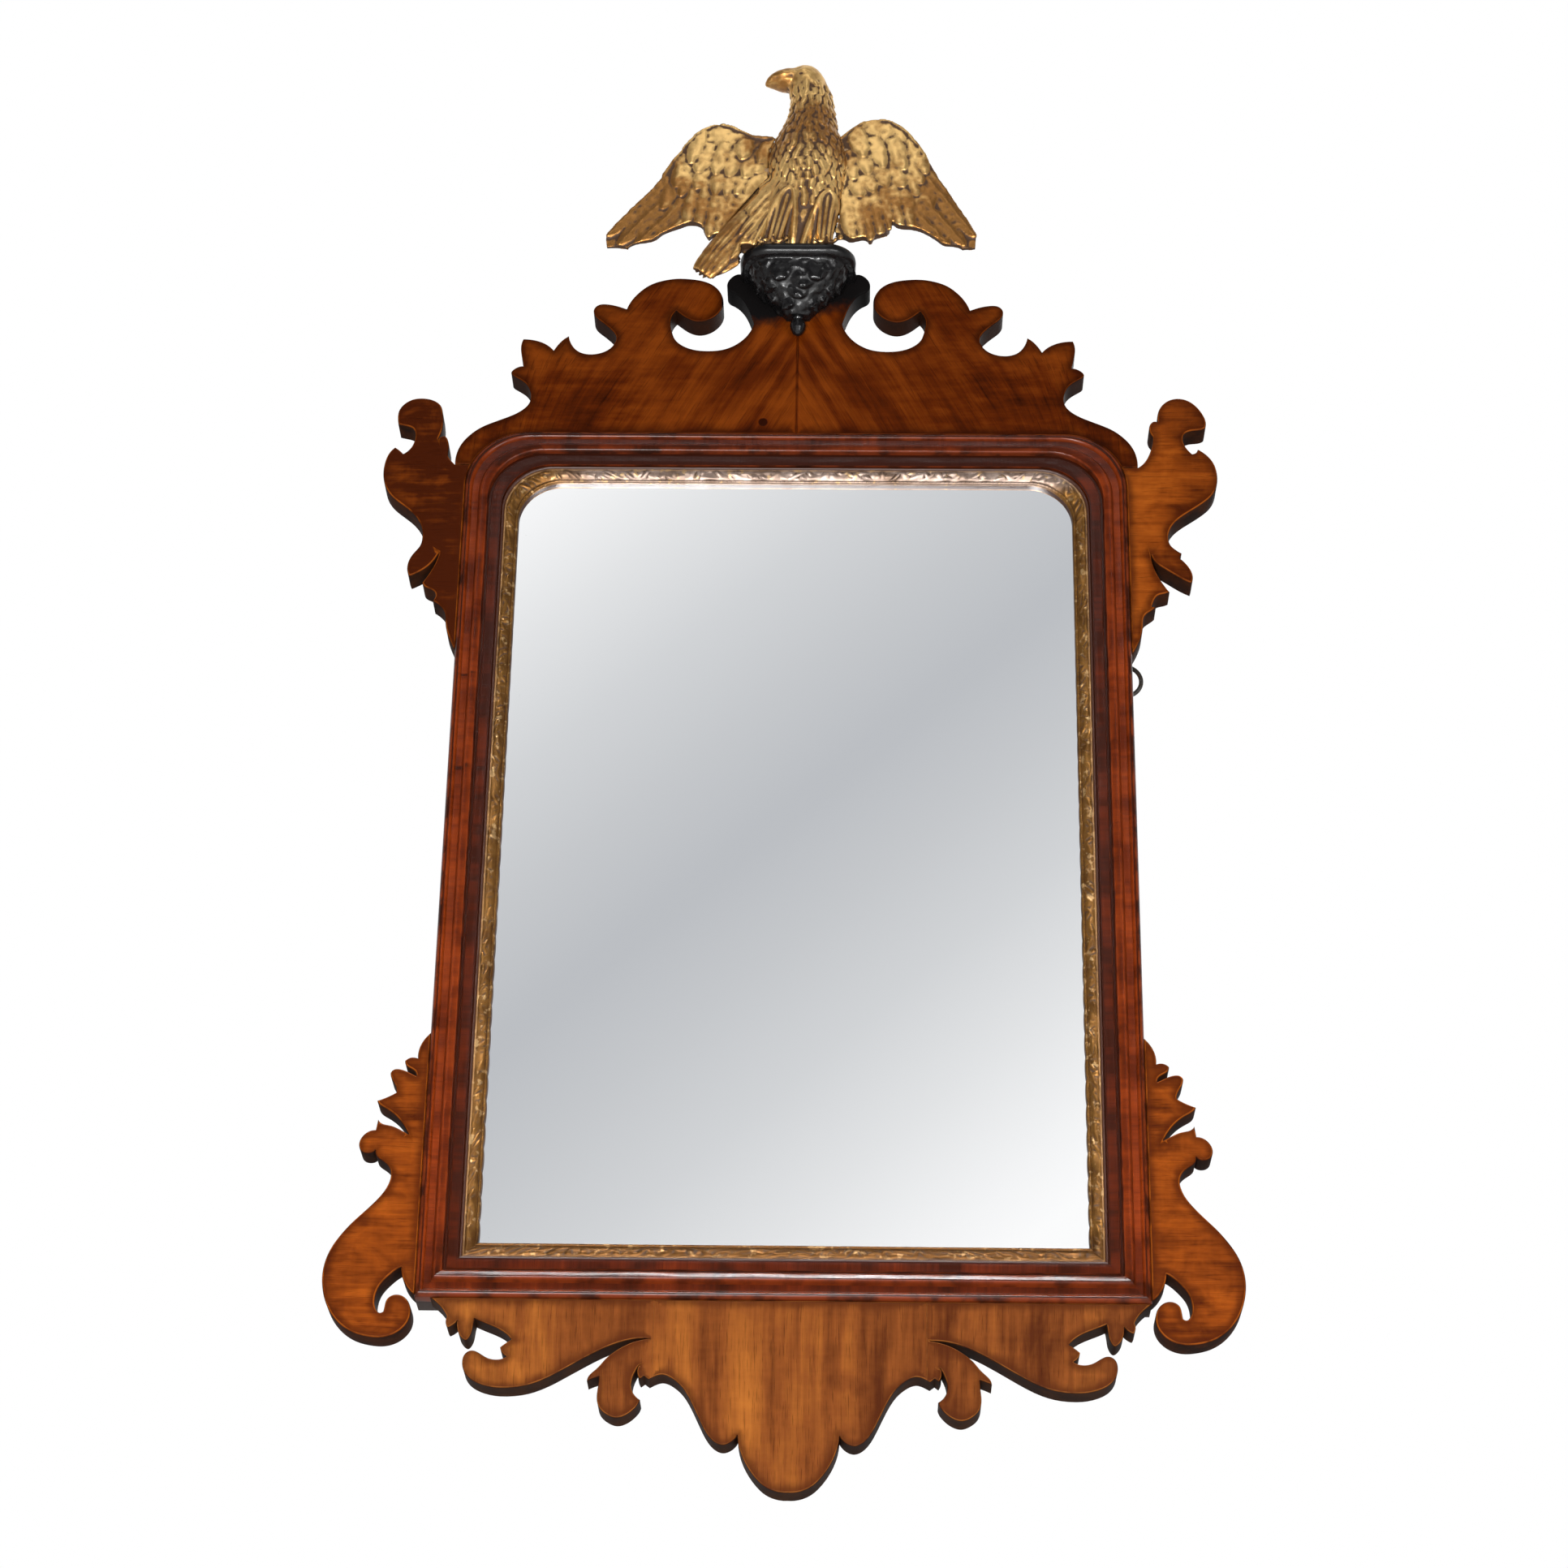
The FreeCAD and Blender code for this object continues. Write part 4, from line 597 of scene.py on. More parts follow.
# The mouldings darken less on faces turned from the front than the boards do, as painted shade on their
# slopes and grooves.
MOULDING_POLISH = {"streak": 320.0, "edge_stain_and_shade": 0.3, "gloss": 0.14, "sheen": 0.17}
FINISHES = {
    "crest": wood("crest_mahogany", CREST_TONES, crest_grain, crest_figure, painted=neck_paint),
    "apron": wood("apron_mahogany", APRON_TONES, upright_grain, apron_figure),
    "lower_ear": wood("lower_ear_mahogany", EAR_TONES, level_grain, ear_figure),
    "upper_ear": wood("upper_ear_mahogany", EAR_TONES, level_grain, upper_ear_figure),
    "pine_upright": pine("pine_upright", upright_grain),
    "pine_level": pine("pine_level", level_grain),
    "pine_boards": pine("pine_boards", board_grain, board_joints),
    "core_upright": pine("core_upright", upright_grain, core_outside_stain_and_shade),
    "core_level": pine("core_level", level_grain, core_outside_stain_and_shade),
    "gold": eagle_gilding(),
    "slip": slip_gilding(),
    "ebony": ebony_gloss(),
    "iron": old_iron(),
    "glass": silvered_glass(),
}
for name, grain in (("moulding_upright", level_grain), ("moulding_level", upright_grain)):
    FINISHES[name] = wood(name, MOULDING_TONES, grain, moulding_figure, **MOULDING_POLISH)

# Which finish each piece of the frame has.
NODE_FINISHES = {
    "crest": ["crest_panel", "crest_veneer_left", "crest_veneer_right"],
    "apron": ["apron_panel", "apron_veneer_left", "apron_veneer_centre", "apron_veneer_right"],
    "upper_ear": ["upper_ear_left", "upper_ear_right"],
    "lower_ear": ["lower_ear_left", "lower_ear_right"],
    "moulding_upright": ["moulding_left", "moulding_right", "moulding_corner_left", "moulding_corner_right"],
    "moulding_level": ["moulding_top", "moulding_bottom"],
    "core_upright": ["core_left_stile", "core_right_stile"],
    "core_level": ["core_top_rail", "core_bottom_rail"],
    "pine_upright": ["crest_batten", "ear_blocks_left", "ear_blocks_right"],
    "pine_level": ["crest_blocks", "apron_blocks", "glass_wedges", "eagle_dowels"],
    "pine_boards": ["backboard_top", "backboard_middle", "backboard_bottom"],
    "gold": ["eagle_body", "eagle_wing_left", "eagle_wing_right"],
    "slip": ["slip_left", "slip_right", "slip_top", "slip_bottom", "slip_corner_left", "slip_corner_right"],
    "ebony": ["eagle_bracket", "bracket_drop"],
    "iron": ["backboard_nails", "bracket_screws",
             "screw_eye_left", "screw_eye_right", "ring_left", "ring_right"],
    "glass": ["mirror_plate"],
}
for finish_name, nodes in NODE_FINISHES.items():
    for node in nodes:
        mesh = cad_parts[node].data
        mesh.materials.clear()
        mesh.materials.append(FINISHES[finish_name])


def piece(name, vertices, faces, finish, nodes, marks):
    """A new mesh that stands for CAD nodes and rides on the frame."""
    mesh = bpy.data.meshes.new(name)
    mesh.from_pydata(vertices, [], faces)
    mesh.validate()
    mesh.update()
    mesh.polygons.foreach_set("use_smooth", [True] * len(mesh.polygons))
    for mark, values in marks.items():
        mesh.attributes.new(mark, "FLOAT", "POINT").data.foreach_set("value", values)
    mesh.materials.append(FINISHES[finish])
    made = bpy.data.objects.new(name, mesh)
    bpy.context.scene.collection.objects.link(made)
    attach(made, BODY)
    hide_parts(*nodes)
    return made


# From which share of its length a leaf tapers to its point.
LEAF_SHOULDER_SHARE = 0.45


class Leaf:
    """One carved leaf, feather or scale: where it starts, which way it runs, and how it stands out."""

    def __init__(self, surface, near, towards, length, width, rise,
                 point=2.0, depth=0.012, tuck=0.25, lines=0):
        place, normal = surface.find_nearest(Vector(near))[:2]
        along = Vector(towards) - normal * normal.dot(Vector(towards))
        self.root = place
        self.normal = normal
        self.along = along.normalized()
        self.across = self.along.cross(normal)
        self.length = length
        self.width = width
        self.rise = rise
        self.point = point
        self.depth = depth
        self.tuck = tuck
        self.lines = lines

    def raises(self, points, normals):
        """How high the leaf stands over each point, with nothing outside its outline."""
        offset = points - np.array(self.root)
        t = offset @ np.array(self.along) / self.length
        inside = np.clip(t, 0.0, 1.0)
        taper = np.clip((inside - LEAF_SHOULDER_SHARE) / (1.0 - LEAF_SHOULDER_SHARE), 0.0, 1.0) ** self.point
        waist = np.clip(0.6 + 1.2 * inside, 0.0, 1.0)
        half = self.width / 2 * np.sqrt(np.clip(1.0 - taper, 0.0, 1.0)) * waist
        w = offset @ np.array(self.across) / np.maximum(half, 1e-6)
        near = np.abs(offset @ np.array(self.normal)) < self.depth
        faces = normals @ np.array(self.normal) > 0.15
        covers = (t > 0.0) & (t < 1.0) & (np.abs(w) < 1.0) & near & faces
        section = 1.0 - 0.55 * w * w
        if self.lines:
            cuts = 0.13 * np.cos(self.lines * math.pi * w) * np.sin(math.pi * inside)
            section = 0.84 - 0.42 * w * w + 0.16 * np.exp(-(w / 0.16) ** 2) + cuts
        height = (self.tuck + (1.0 - self.tuck) * inside) * section
        return np.where(covers, height * self.rise, 0.0)


def surface_of(node):
    """A CAD node's surface, for finding places on it."""
    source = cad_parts[node]
    mesh = source.data
    points = [source.matrix_world @ vertex.co for vertex in mesh.vertices]
    return BVHTree.FromPolygons(points, [face.vertices for face in mesh.polygons])


# The carvings' mesh step, the distance within which points are one, and where a wing's dowels leave it.
CARVING_STEP = 0.0008
WELD = 0.00001
PLUG_START = 0.021
PLUG_LOW = WING_FOOT + 0.02


def softened(mesh, height, turns):
    """Heights evened out among neighbouring points of a mesh."""
    count = len(height)
    edges = np.empty(len(mesh.edges) * 2, dtype=int)
    mesh.edges.foreach_get("vertices", edges)
    first, second = edges.reshape(-1, 2).T
    links = np.maximum(np.bincount(edges, minlength=count), 1)
    for turn in range(turns):
        total = np.bincount(first, height[second], count) + np.bincount(second, height[first], count)
        height = 0.5 * height + 0.5 * total / links
    return height


def hollows(mesh, height, depth):
    """How far each point lies below the carving round it, from 0 on the raised parts to 1 in the cuts."""
    around = softened(mesh, height, 9)
    return softened(mesh, np.clip((around - height) / depth + 0.2, 0.0, 1.0), 2)


def add_plugs(shape, side):
    """Fill a wing's dowel holes with the dowels' own ends."""
    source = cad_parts["eagle_dowels"]
    dowels = bmesh.new()
    dowels.from_mesh(source.data)
    dowels.transform(source.matrix_world)
    others = [vertex for vertex in dowels.verts if side * vertex.co.x < 0.0 or vertex.co.z < PLUG_LOW]
    bmesh.ops.delete(dowels, geom=others, context="VERTS")
    for vertex in dowels.verts:
        vertex.co.x = side * max(side * vertex.co.x, PLUG_START)
    mesh = bpy.data.meshes.new("plugs")
    dowels.to_mesh(mesh)
    dowels.free()
    shape.from_mesh(mesh)
    bpy.data.meshes.remove(mesh)


def carved_piece(node, finish, leaves, sink, soft, depth, shaping=None, plug_side=0):
    """A carved copy of a CAD node: an even mesh of its surface with leaves raised from it."""
    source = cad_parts[node]
    shape = bmesh.new()
    shape.from_mesh(source.data)
    shape.transform(source.matrix_world)
    if plug_side:
        add_plugs(shape, plug_side)
    rough = bpy.data.meshes.new(node + "_blank")
    shape.to_mesh(rough)
    shape.free()
    blank = bpy.data.objects.new(node + "_blank", rough)
    bpy.context.scene.collection.objects.link(blank)
    weld = blank.modifiers.new("weld", "WELD")
    weld.merge_threshold = WELD
    remesh = blank.modifiers.new("remesh", "REMESH")
    remesh.mode = "VOXEL"
    remesh.voxel_size = CARVING_STEP
    smooth = blank.modifiers.new("smooth", "SMOOTH")
    smooth.iterations = 2
    bpy.context.view_layer.update()
    even = blank.evaluated_get(bpy.context.evaluated_depsgraph_get())
    mesh = bpy.data.meshes.new_from_object(even)
    bpy.data.objects.remove(blank)
    bpy.data.meshes.remove(rough)
    count = len(mesh.vertices)
    points = np.empty(count * 3)
    mesh.vertices.foreach_get("co", points)
    points = points.reshape(count, 3)
    normals = np.array([vertex.normal[:] for vertex in mesh.vertices])
    height = np.zeros(count)
    for leaf in leaves:
        height = np.maximum(height, leaf.raises(points, normals))
    if shaping:
        height = shaping(points, normals, height)
    height = softened(mesh, height, soft)
    hollow = hollows(mesh, height, depth)
    points = points + normals * (height - sink)[:, None]
    faces = [face.vertices[:] for face in mesh.polygons]
    piece(node + "_carving", points.tolist(), faces, finish, [node], {"hollow": hollow.tolist()})
    bpy.data.meshes.remove(mesh)


# A board's steps round its edge and over its front, its rounding and nearness at a seam, and its dark rim.
BOARD_STEP = 0.0016
BOARD_GRID = 0.007
SEAM_ROUNDING = 0.00025
SEAM_NEAR = 0.0003
RIM_WIDTH = 0.008
FLAT_WITHIN = 0.00005
# Rows of points in from the edge, in shares of the rounding, and how clear of other edges points stay.
RIM_SHARES = 0.3, 0.65, 1.0, 2.5, 5.0
RIM_CLEAR_SHARE = 0.93
GRID_CLEAR_SHARE = 6.0
BOARD_CREASE = math.radians(40)


def front_outline(node):
    """The outline of a CAD node's flat front in order round it, with the depths of its front and back."""
    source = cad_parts[node]
    shape = bmesh.new()
    shape.from_mesh(source.data)
    shape.transform(source.matrix_world)
    bmesh.ops.remove_doubles(shape, verts=shape.verts, dist=WELD)
    front = min(vertex.co.y for vertex in shape.verts)
    back = max(vertex.co.y for vertex in shape.verts)
    faces = {face for face in shape.faces if max(vertex.co.y for vertex in face.verts) < front + FLAT_WITHIN}
    follow = {}
    for edge in shape.edges:
        if sum(face in faces for face in edge.link_faces) == 1:
            for vertex in edge.verts:
                follow.setdefault(vertex, []).append(edge.other_vert(vertex))
    loop = [next(iter(follow))]
    before = None
    while len(loop) == 1 or loop[-1] is not loop[0]:
        after = [vertex for vertex in follow[loop[-1]] if vertex is not before][0]
        before = loop[-1]
        loop.append(after)
    outline = [Vector((vertex.co.x, vertex.co.z)) for vertex in loop[:-1]]
    shape.free()
    return outline, front, back


def even_ring(outline):
    """An outline turned anticlockwise, with short even steps along it."""
    turning = sum(a.x * b.y - b.x * a.y for a, b in zip(outline, outline[1:] + outline[:1]))
    if turning < 0:
        outline = outline[::-1]
    ring = []
    for start, end in zip(outline, outline[1:] + outline[:1]):
        count = max(1, round((end - start).length / BOARD_STEP))
        ring += [start + (end - start) * (index / count) for index in range(count)]
    return ring


def front_places(ring, rounds, rounding, tree):
    """Points over a board's front: rows along its rounded edge, and a grid over the rest."""
    places = list(ring)
    for share in RIM_SHARES:
        for index, place in enumerate(ring):
            ahead = (ring[(index + 1) % len(ring)] - ring[index - 1]).normalized()
            inset = max(rounds[index] * share, rounding * (share - 1.0))
            inner = place + Vector((-ahead.y, ahead.x)) * inset
            if tree.find((inner.x, inner.y, 0.0))[2] > RIM_CLEAR_SHARE * inset:
                places.append(inner)
    left, right = min(p.x for p in ring), max(p.x for p in ring)
    low, high = min(p.y for p in ring), max(p.y for p in ring)
    for row in range(int((high - low) / BOARD_GRID)):
        for column in range(int((right - left) / BOARD_GRID)):
            place = Vector((left + (column + 0.5 * (row % 2)) * BOARD_GRID, low + row * BOARD_GRID))
            if tree.find((place.x, place.y, 0.0))[2] > GRID_CLEAR_SHARE * rounding:
                places.append(place)
    return places


def closed_board(fronts, count):
    """A front's faces with the same faces at the back, count points later, and walls round the border."""
    sides = dict.fromkeys(pair for face in fronts for pair in zip(face, face[1:] + face[:1]))
    borders = [pair for pair in sides if pair[::-1] not in sides]
    backs = [[corner + count for corner in reversed(face)] for face in fronts]
    walls = [[end, start, start + count, end + count] for start, end in borders]
    return fronts + backs + walls


def board_piece(node, finish, rounding, seams=()):
    """A sawn board with its front edge rubbed round, but nearly square along the seams."""
    outline, front, back = front_outline(node)
    ring = even_ring(outline)
    tree = KDTree(len(ring))
    rounds = []
    for index, place in enumerate(ring):
        tree.insert((place.x, place.y, 0.0), index)
        on_seam = any(abs(place.x - seam) < SEAM_NEAR for seam in seams)
        rounds.append(SEAM_ROUNDING if on_seam else rounding)
    tree.balance()
    places = front_places(ring, rounds, rounding, tree)
    triangles = delaunay_2d_cdt(places, [], [list(range(len(ring)))], 1, 0.1 * WELD)
    flat, faces = triangles[0], triangles[2]
    used = sorted({corner for face in faces for corner in face})
    number = {old: new for new, old in enumerate(used)}
    vertices = []
    rims = []
    for old in used:
        place = flat[old]
        index, away = tree.find((place.x, place.y, 0.0))[1:]
        bend = rounds[index]
        short = max(0.0, bend - away)
        vertices.append((place.x, front + bend - math.sqrt(max(0.0, bend * bend - short * short)), place.y))
        rims.append(max(0.0, 1.0 - away / RIM_WIDTH) if bend == rounding else 0.0)
    vertices += [(flat[old].x, back, flat[old].y) for old in used]
    faces = closed_board([[number[corner] for corner in face] for face in faces], len(used))
    made = piece(node + "_board", vertices, faces, finish, [node], {"rim": rims * 2})
    made.data.set_sharp_from_angle(angle=BOARD_CREASE)


VENEER_ROUNDING = 0.0008
EAR_ROUNDING = 0.0012
CREST_SEAMS = (0.0,)
APRON_SEAMS = [corner.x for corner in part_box("apron_veneer_centre")]
for side in ("left", "right"):
    board_piece("crest_veneer_" + side, "crest", VENEER_ROUNDING, CREST_SEAMS)
    board_piece("upper_ear_" + side, "upper_ear", EAR_ROUNDING)
    board_piece("lower_ear_" + side, "lower_ear", EAR_ROUNDING)
for side in ("left", "centre", "right"):
    board_piece("apron_veneer_" + side, "apron", VENEER_ROUNDING, APRON_SEAMS)


def perch(across, forward, up):
    """A place on the eagle, in shares of its height from its foot."""
    return Vector((across * EAGLE_TALL, EAGLE_Y - forward * EAGLE_TALL, EAGLE_FOOT + up * EAGLE_TALL))


def along_line(points, share):
    """A place along a line of points, with share 0 at its first point and 1 at its last."""
    points = np.array(points)
    steps = np.linspace(0.0, 1.0, len(points))
    return np.array([np.interp(share, steps, points[:, axis]) for axis in (0, 1)])


# Each wing's front and lower edges, from its tip to the body, in shares of its span and height.
LEFT_LEADING_SHARES = [
    (1.00, 0.09), (0.79, 0.44), (0.64, 0.75), (0.53, 0.94),
    (0.41, 1.0), (0.30, 0.94), (0.16, 0.89), (0.05, 0.87),
]
LEFT_TRAILING_SHARES = [
    (0.98, 0.0), (0.87, 0.0), (0.72, 0.09), (0.58, 0.18),
    (0.46, 0.06), (0.38, 0.08), (0.34, 0.14), (0.10, 0.26),
]
RIGHT_LEADING_SHARES = [
    (0.92, 0.10), (0.77, 0.48), (0.63, 0.82), (0.52, 1.0),
    (0.40, 1.05), (0.30, 1.0), (0.22, 0.90), (0.12, 0.80),
]
RIGHT_TRAILING_SHARES = [
    (0.91, 0.01), (0.82, 0.01), (0.72, 0.05), (0.58, 0.16),
    (0.47, 0.14), (0.37, 0.04), (0.28, 0.06), (0.12, 0.16),
]
# Long feathers from the wing's bend out to its tip: root and tip, in shares of its span and height.
TIP_FEATHER_SHARES = [
    ((0.52, 0.30), (0.73, 0.07)),
    ((0.56, 0.42), (0.85, 0.01)),
    ((0.60, 0.56), (0.94, 0.02)),
    ((0.63, 0.74), (1.0, 0.09)),
]
TIP_FEATHER_WIDE = 0.0125
TIP_FEATHER_RISE = 0.0014
LONG_FEATHERS = 8
LONG_FEATHER_WIDE = 0.0100
LONG_FEATHER_RISE = 0.0017
# Rows of coverts: how far down the wing each row starts, as a share, and its number of coverts.
COVERT_ROWS = ((0.36, 7), (0.19, 6), (0.0, 6))
COVERT_WIDE = 0.0125
COVERT_RISE = 0.0015
COVERT_ROW_RISE = 0.0003
# Leaves on the wings start from a plane ahead of them, and reach this deep into their curve.
WING_AHEAD = EAGLE_Y - 0.02
WING_LEAF_DEPTH = 0.03
# Where each wing's dowel ends close under its front, and the covert that lies over it.
DOWEL_ENDS = {-1: (-0.035, 0.499), 1: (0.028, 0.481)}
COVER_ABOVE = 0.008
COVER_LONG = 0.018
COVER_WIDE = 0.012
COVER_RISE = 0.0022


def wing_leaves(node, side, leading, trailing):
    """Big rounded coverts in rows under the leading edge, over long feathers below and out to the tip."""
    surface = surface_of(node)
    chance = random.Random(5 + side)
    leaves = []

    def add(root, tip, width, rise, point, lines=0):
        across = side * (tip[0] - root[0]) * WING_SPAN
        up = (tip[1] - root[1]) * WING_TALL
        near = Vector((side * root[0] * WING_SPAN, WING_AHEAD, WING_FOOT + root[1] * WING_TALL))
        towards = Vector((across, 0.0, up))
        length = math.hypot(across, up)
        leaves.append(Leaf(surface, near, towards, length, width, rise, point, WING_LEAF_DEPTH, lines=lines))

    def below(share, down):
        top = along_line(leading, share)
        return top + (along_line(trailing, share) - top) * down

    for index in range(LONG_FEATHERS):
        share = 0.44 + 0.073 * index
        add(below(share, 0.48), below(share - 0.02, 1.03), LONG_FEATHER_WIDE, LONG_FEATHER_RISE, 2.6)
    reach = leading[0][0]
    for index, (root, tip) in enumerate(TIP_FEATHER_SHARES):
        rise = TIP_FEATHER_RISE + 0.0002 * index
        add((root[0] * reach, root[1]), (tip[0] * reach, tip[1]), TIP_FEATHER_WIDE, rise, 3.0, 2)
    for row, (start, count) in enumerate(COVERT_ROWS):
        rise = COVERT_RISE + COVERT_ROW_RISE * row
        for index in range(count):
            share = 0.30 + 0.70 * (index + 0.5 * (row % 2) + 0.25 * chance.random()) / count
            width = COVERT_WIDE * (0.85 + 0.3 * chance.random())
            add(below(share, start - 0.04), below(share - 0.05, start + 0.27), width, rise, 2.0)
    across, up = DOWEL_ENDS[side]
    near = Vector((across, WING_AHEAD, up + COVER_ABOVE))
    towards = Vector((side * 0.2, 0.0, -1.0))
    leaves.append(Leaf(surface, near, towards, COVER_LONG, COVER_WIDE, COVER_RISE, 2.0, WING_LEAF_DEPTH))
    return leaves


# The eagle's trunk from its foot up, in shares of its height: up, across, forward, half width and half depth.
TRUNK_SHARES = [
    (-0.06, 0.014, -0.02, 0.118, 0.058),
    (0.10, 0.020, 0.0, 0.128, 0.078),
    (0.23, 0.027, 0.01, 0.15, 0.105),
    (0.39, 0.033, 0.01, 0.172, 0.127),
    (0.54, 0.037, 0.01, 0.168, 0.122),
    (0.65, 0.045, 0.01, 0.13, 0.107),
    (0.75, 0.052, 0.01, 0.106, 0.093),
    (0.85, 0.045, 0.015, 0.094, 0.084),
    (0.935, 0.015, 0.02, 0.088, 0.078),
]
# Rows of small feathers: heights in shares, then each feather's spacing, length, width, rise and point.
NECK_ROW_SHARES = [0.88 - 0.031 * row for row in range(8)]
BREAST_ROW_SHARES = [0.635 - 0.038 * row for row in range(11)]
NECK_FEATHER = (0.0050, 0.0074, 0.0043, 0.0016, 1.8)
BREAST_FEATHER = (0.0058, 0.0090, 0.0049, 0.0018, 1.5)
# The tail's root and tip, its rows of feathers with their start and number, and each feather's sizes.
TAIL_ROOT = perch(-0.06, 0.0, 0.37)
TAIL_TIP = perch(-0.42, 0.06, -0.135)
TAIL_ROWS = ((0.44, 6), (0.22, 6), (0.02, 5))
TAIL_SPACING = 0.0062
TAIL_FEATHER_WIDE = 0.0066
TAIL_FEATHER_RISE = 0.0026
TAIL_ROW_RISE = 0.0003
# The arched thighs: the arch's top, how far its middle strays by the foot, its half width and its height.
THIGHS = [(-0.006, -0.011, 0.0125, 0.042), (0.020, -0.005, 0.0130, 0.040)]
THIGH_FRONT = EAGLE_Y - 0.004
ARCH_WIDE = 0.0021
ARCH_RISE = 0.0028
ARCH_TOP = 0.0025
ARCH_INSIDE = 0.0012
SCORE_PITCH = 0.0042
SCORE_RISE = 0.0006
SCORE_LEVEL = 0.0001


def trunk_leaves(surface, rows, spacing, length, width, rise, point, chance):
    """Rows of feathers round the trunk, each hanging over the row below."""
    leaves = []
    heights, *others = zip(*TRUNK_SHARES)
    for row, up in enumerate(rows):
        across, forward, wide, deep = (np.interp(up, heights, values) for values in others)
        around = math.pi * (wide + deep) * EAGLE_TALL
        count = max(5, round(around / spacing))
        for index in range(count):
            turn = 2 * math.pi * (index + 0.5 * (row % 2) + 0.35 * chance.random()) / count
            lifted = up + 0.024 * (chance.random() - 0.5)
            near = perch(across + wide * math.cos(turn), forward + deep * math.sin(turn), lifted)
            towards = (0.50 * (chance.random() - 0.5), 0.0, -1.0)
            size = 0.75 + 0.5 * chance.random()
            sizes = length * size, width * (0.5 + 0.5 * size), rise * size
            leaves.append(Leaf(surface, near, towards, *sizes, point))
    return leaves


def body_leaves():
    """Small feathers down the neck and the breast, and long ones on both faces of the tail."""
    surface = surface_of("eagle_body")
    chance = random.Random(11)
    leaves = trunk_leaves(surface, NECK_ROW_SHARES, *NECK_FEATHER, chance)
    leaves += trunk_leaves(surface, BREAST_ROW_SHARES, *BREAST_FEATHER, chance)
    fall = TAIL_TIP - TAIL_ROOT
    for row, (start, count) in enumerate(TAIL_ROWS):
        rise = TAIL_FEATHER_RISE + TAIL_ROW_RISE * row
        for index in range(count):
            aside = (index + 0.5 - count / 2) * TAIL_SPACING
            for front in (-1, 1):
                near = TAIL_ROOT + fall * start + Vector((aside * 0.82, front * 0.02, -aside * 0.57))
                leaves.append(Leaf(surface, near, fall, fall.length * 0.60, TAIL_FEATHER_WIDE, rise, 3.0))
    return leaves


# The heights of the eye, the brow and the mouth, in shares of the eagle's, and how they stand out.
EYE_SHARE = 0.922
BROW_SHARE = 0.944
MOUTH_SHARE = 0.912
EYE_SIZE = 0.0017
EYE_DEEP = 0.0006
BROW_RISE = 0.0008
MOUTH_DEEP = 0.0003


def face(points, normals):
    """The eye under its brow, and the line of the mouth, on both sides of the head."""
    across = points[:, 0] / EAGLE_TALL
    up = (points[:, 2] - EAGLE_FOOT) / EAGLE_TALL
    aside = np.abs(normals[:, 1]) > 0.35
    ring = np.hypot(across, 1.5 * (up - EYE_SHARE)) * EAGLE_TALL
    eye = aside * np.exp(-(ring / EYE_SIZE) ** 2)
    brow_line = up - (BROW_SHARE + 0.10 * across)
    brow = aside * np.exp(-(brow_line / 0.011) ** 2) * np.exp(-((across + 0.02) / 0.05) ** 2)
    mouth_line = up - (MOUTH_SHARE + 0.06 * (across + 0.06))
    mouth = aside * np.exp(-(mouth_line / 0.008) ** 2) * ((across < -0.030) & (across > -0.135))
    return BROW_RISE * brow - EYE_DEEP * eye - MOUTH_DEEP * mouth


# How high the carver's tool marks stand, and how many there are to the metre.
TOOL_RISE = 0.0004
TOOL_MARKS = 230.0


def tooled(points, normals, height):
    """The uneven marks of the carver's tools, left off at the plain back."""
    front = np.clip(0.4 - normals[:, 1], 0.0, 1.0)
    marks = np.array([noise.noise(Vector(point) * TOOL_MARKS) for point in points])
    return height + TOOL_RISE * front * marks


def body_cuts(points, normals, height):
    """The face, and two arched thighs at the front: smooth along the arch and scored inside it."""
    height = tooled(points, normals, height) + face(points, normals)
    above = points[:, 2] - EAGLE_FOOT
    front = np.clip((-0.1 - normals[:, 1]) / 0.3, 0.0, 1.0) * (points[:, 1] < THIGH_FRONT)
    for top, stray, half, tall in THIGHS:
        fall = np.clip((tall - above) / tall, 0.0, 1.0)
        across = points[:, 0] - top - stray * fall
        aside = np.abs(across)
        reach = half * np.sqrt(fall)
        band = np.exp(-((aside - reach) / ARCH_WIDE) ** 2) * np.clip((tall + ARCH_TOP - above) / MM, 0.0, 1.0)
        inside = np.clip((reach - ARCH_INSIDE - aside) / MM, 0.0, 1.0)
        scores = SCORE_LEVEL + SCORE_RISE * np.cos(2.0 * math.pi * across / SCORE_PITCH)
        clear = 1.0 - front * np.maximum(inside, np.clip(1.6 * band, 0.0, 1.0))
        height = height * clear + front * (ARCH_RISE * band + inside * scores)
    return height


def in_thigh(place):
    """Whether a place lies at the front within an arched thigh."""
    above = place.z - EAGLE_FOOT
    for top, stray, half, tall in THIGHS:
        fall = min(max((tall - above) / tall, 0.0), 1.0)
        if above < tall and abs(place.x - top - stray * fall) < half * math.sqrt(fall):
            return place.y < THIGH_FRONT
    return False


def clear_head(leaves):
    """Leave the head and the beak smooth, and the arched thighs free of small feathers."""
    bare = EAGLE_FOOT + 0.90 * EAGLE_TALL
    return [leaf for leaf in leaves if leaf.root.z < bare and not in_thigh(leaf.root)]


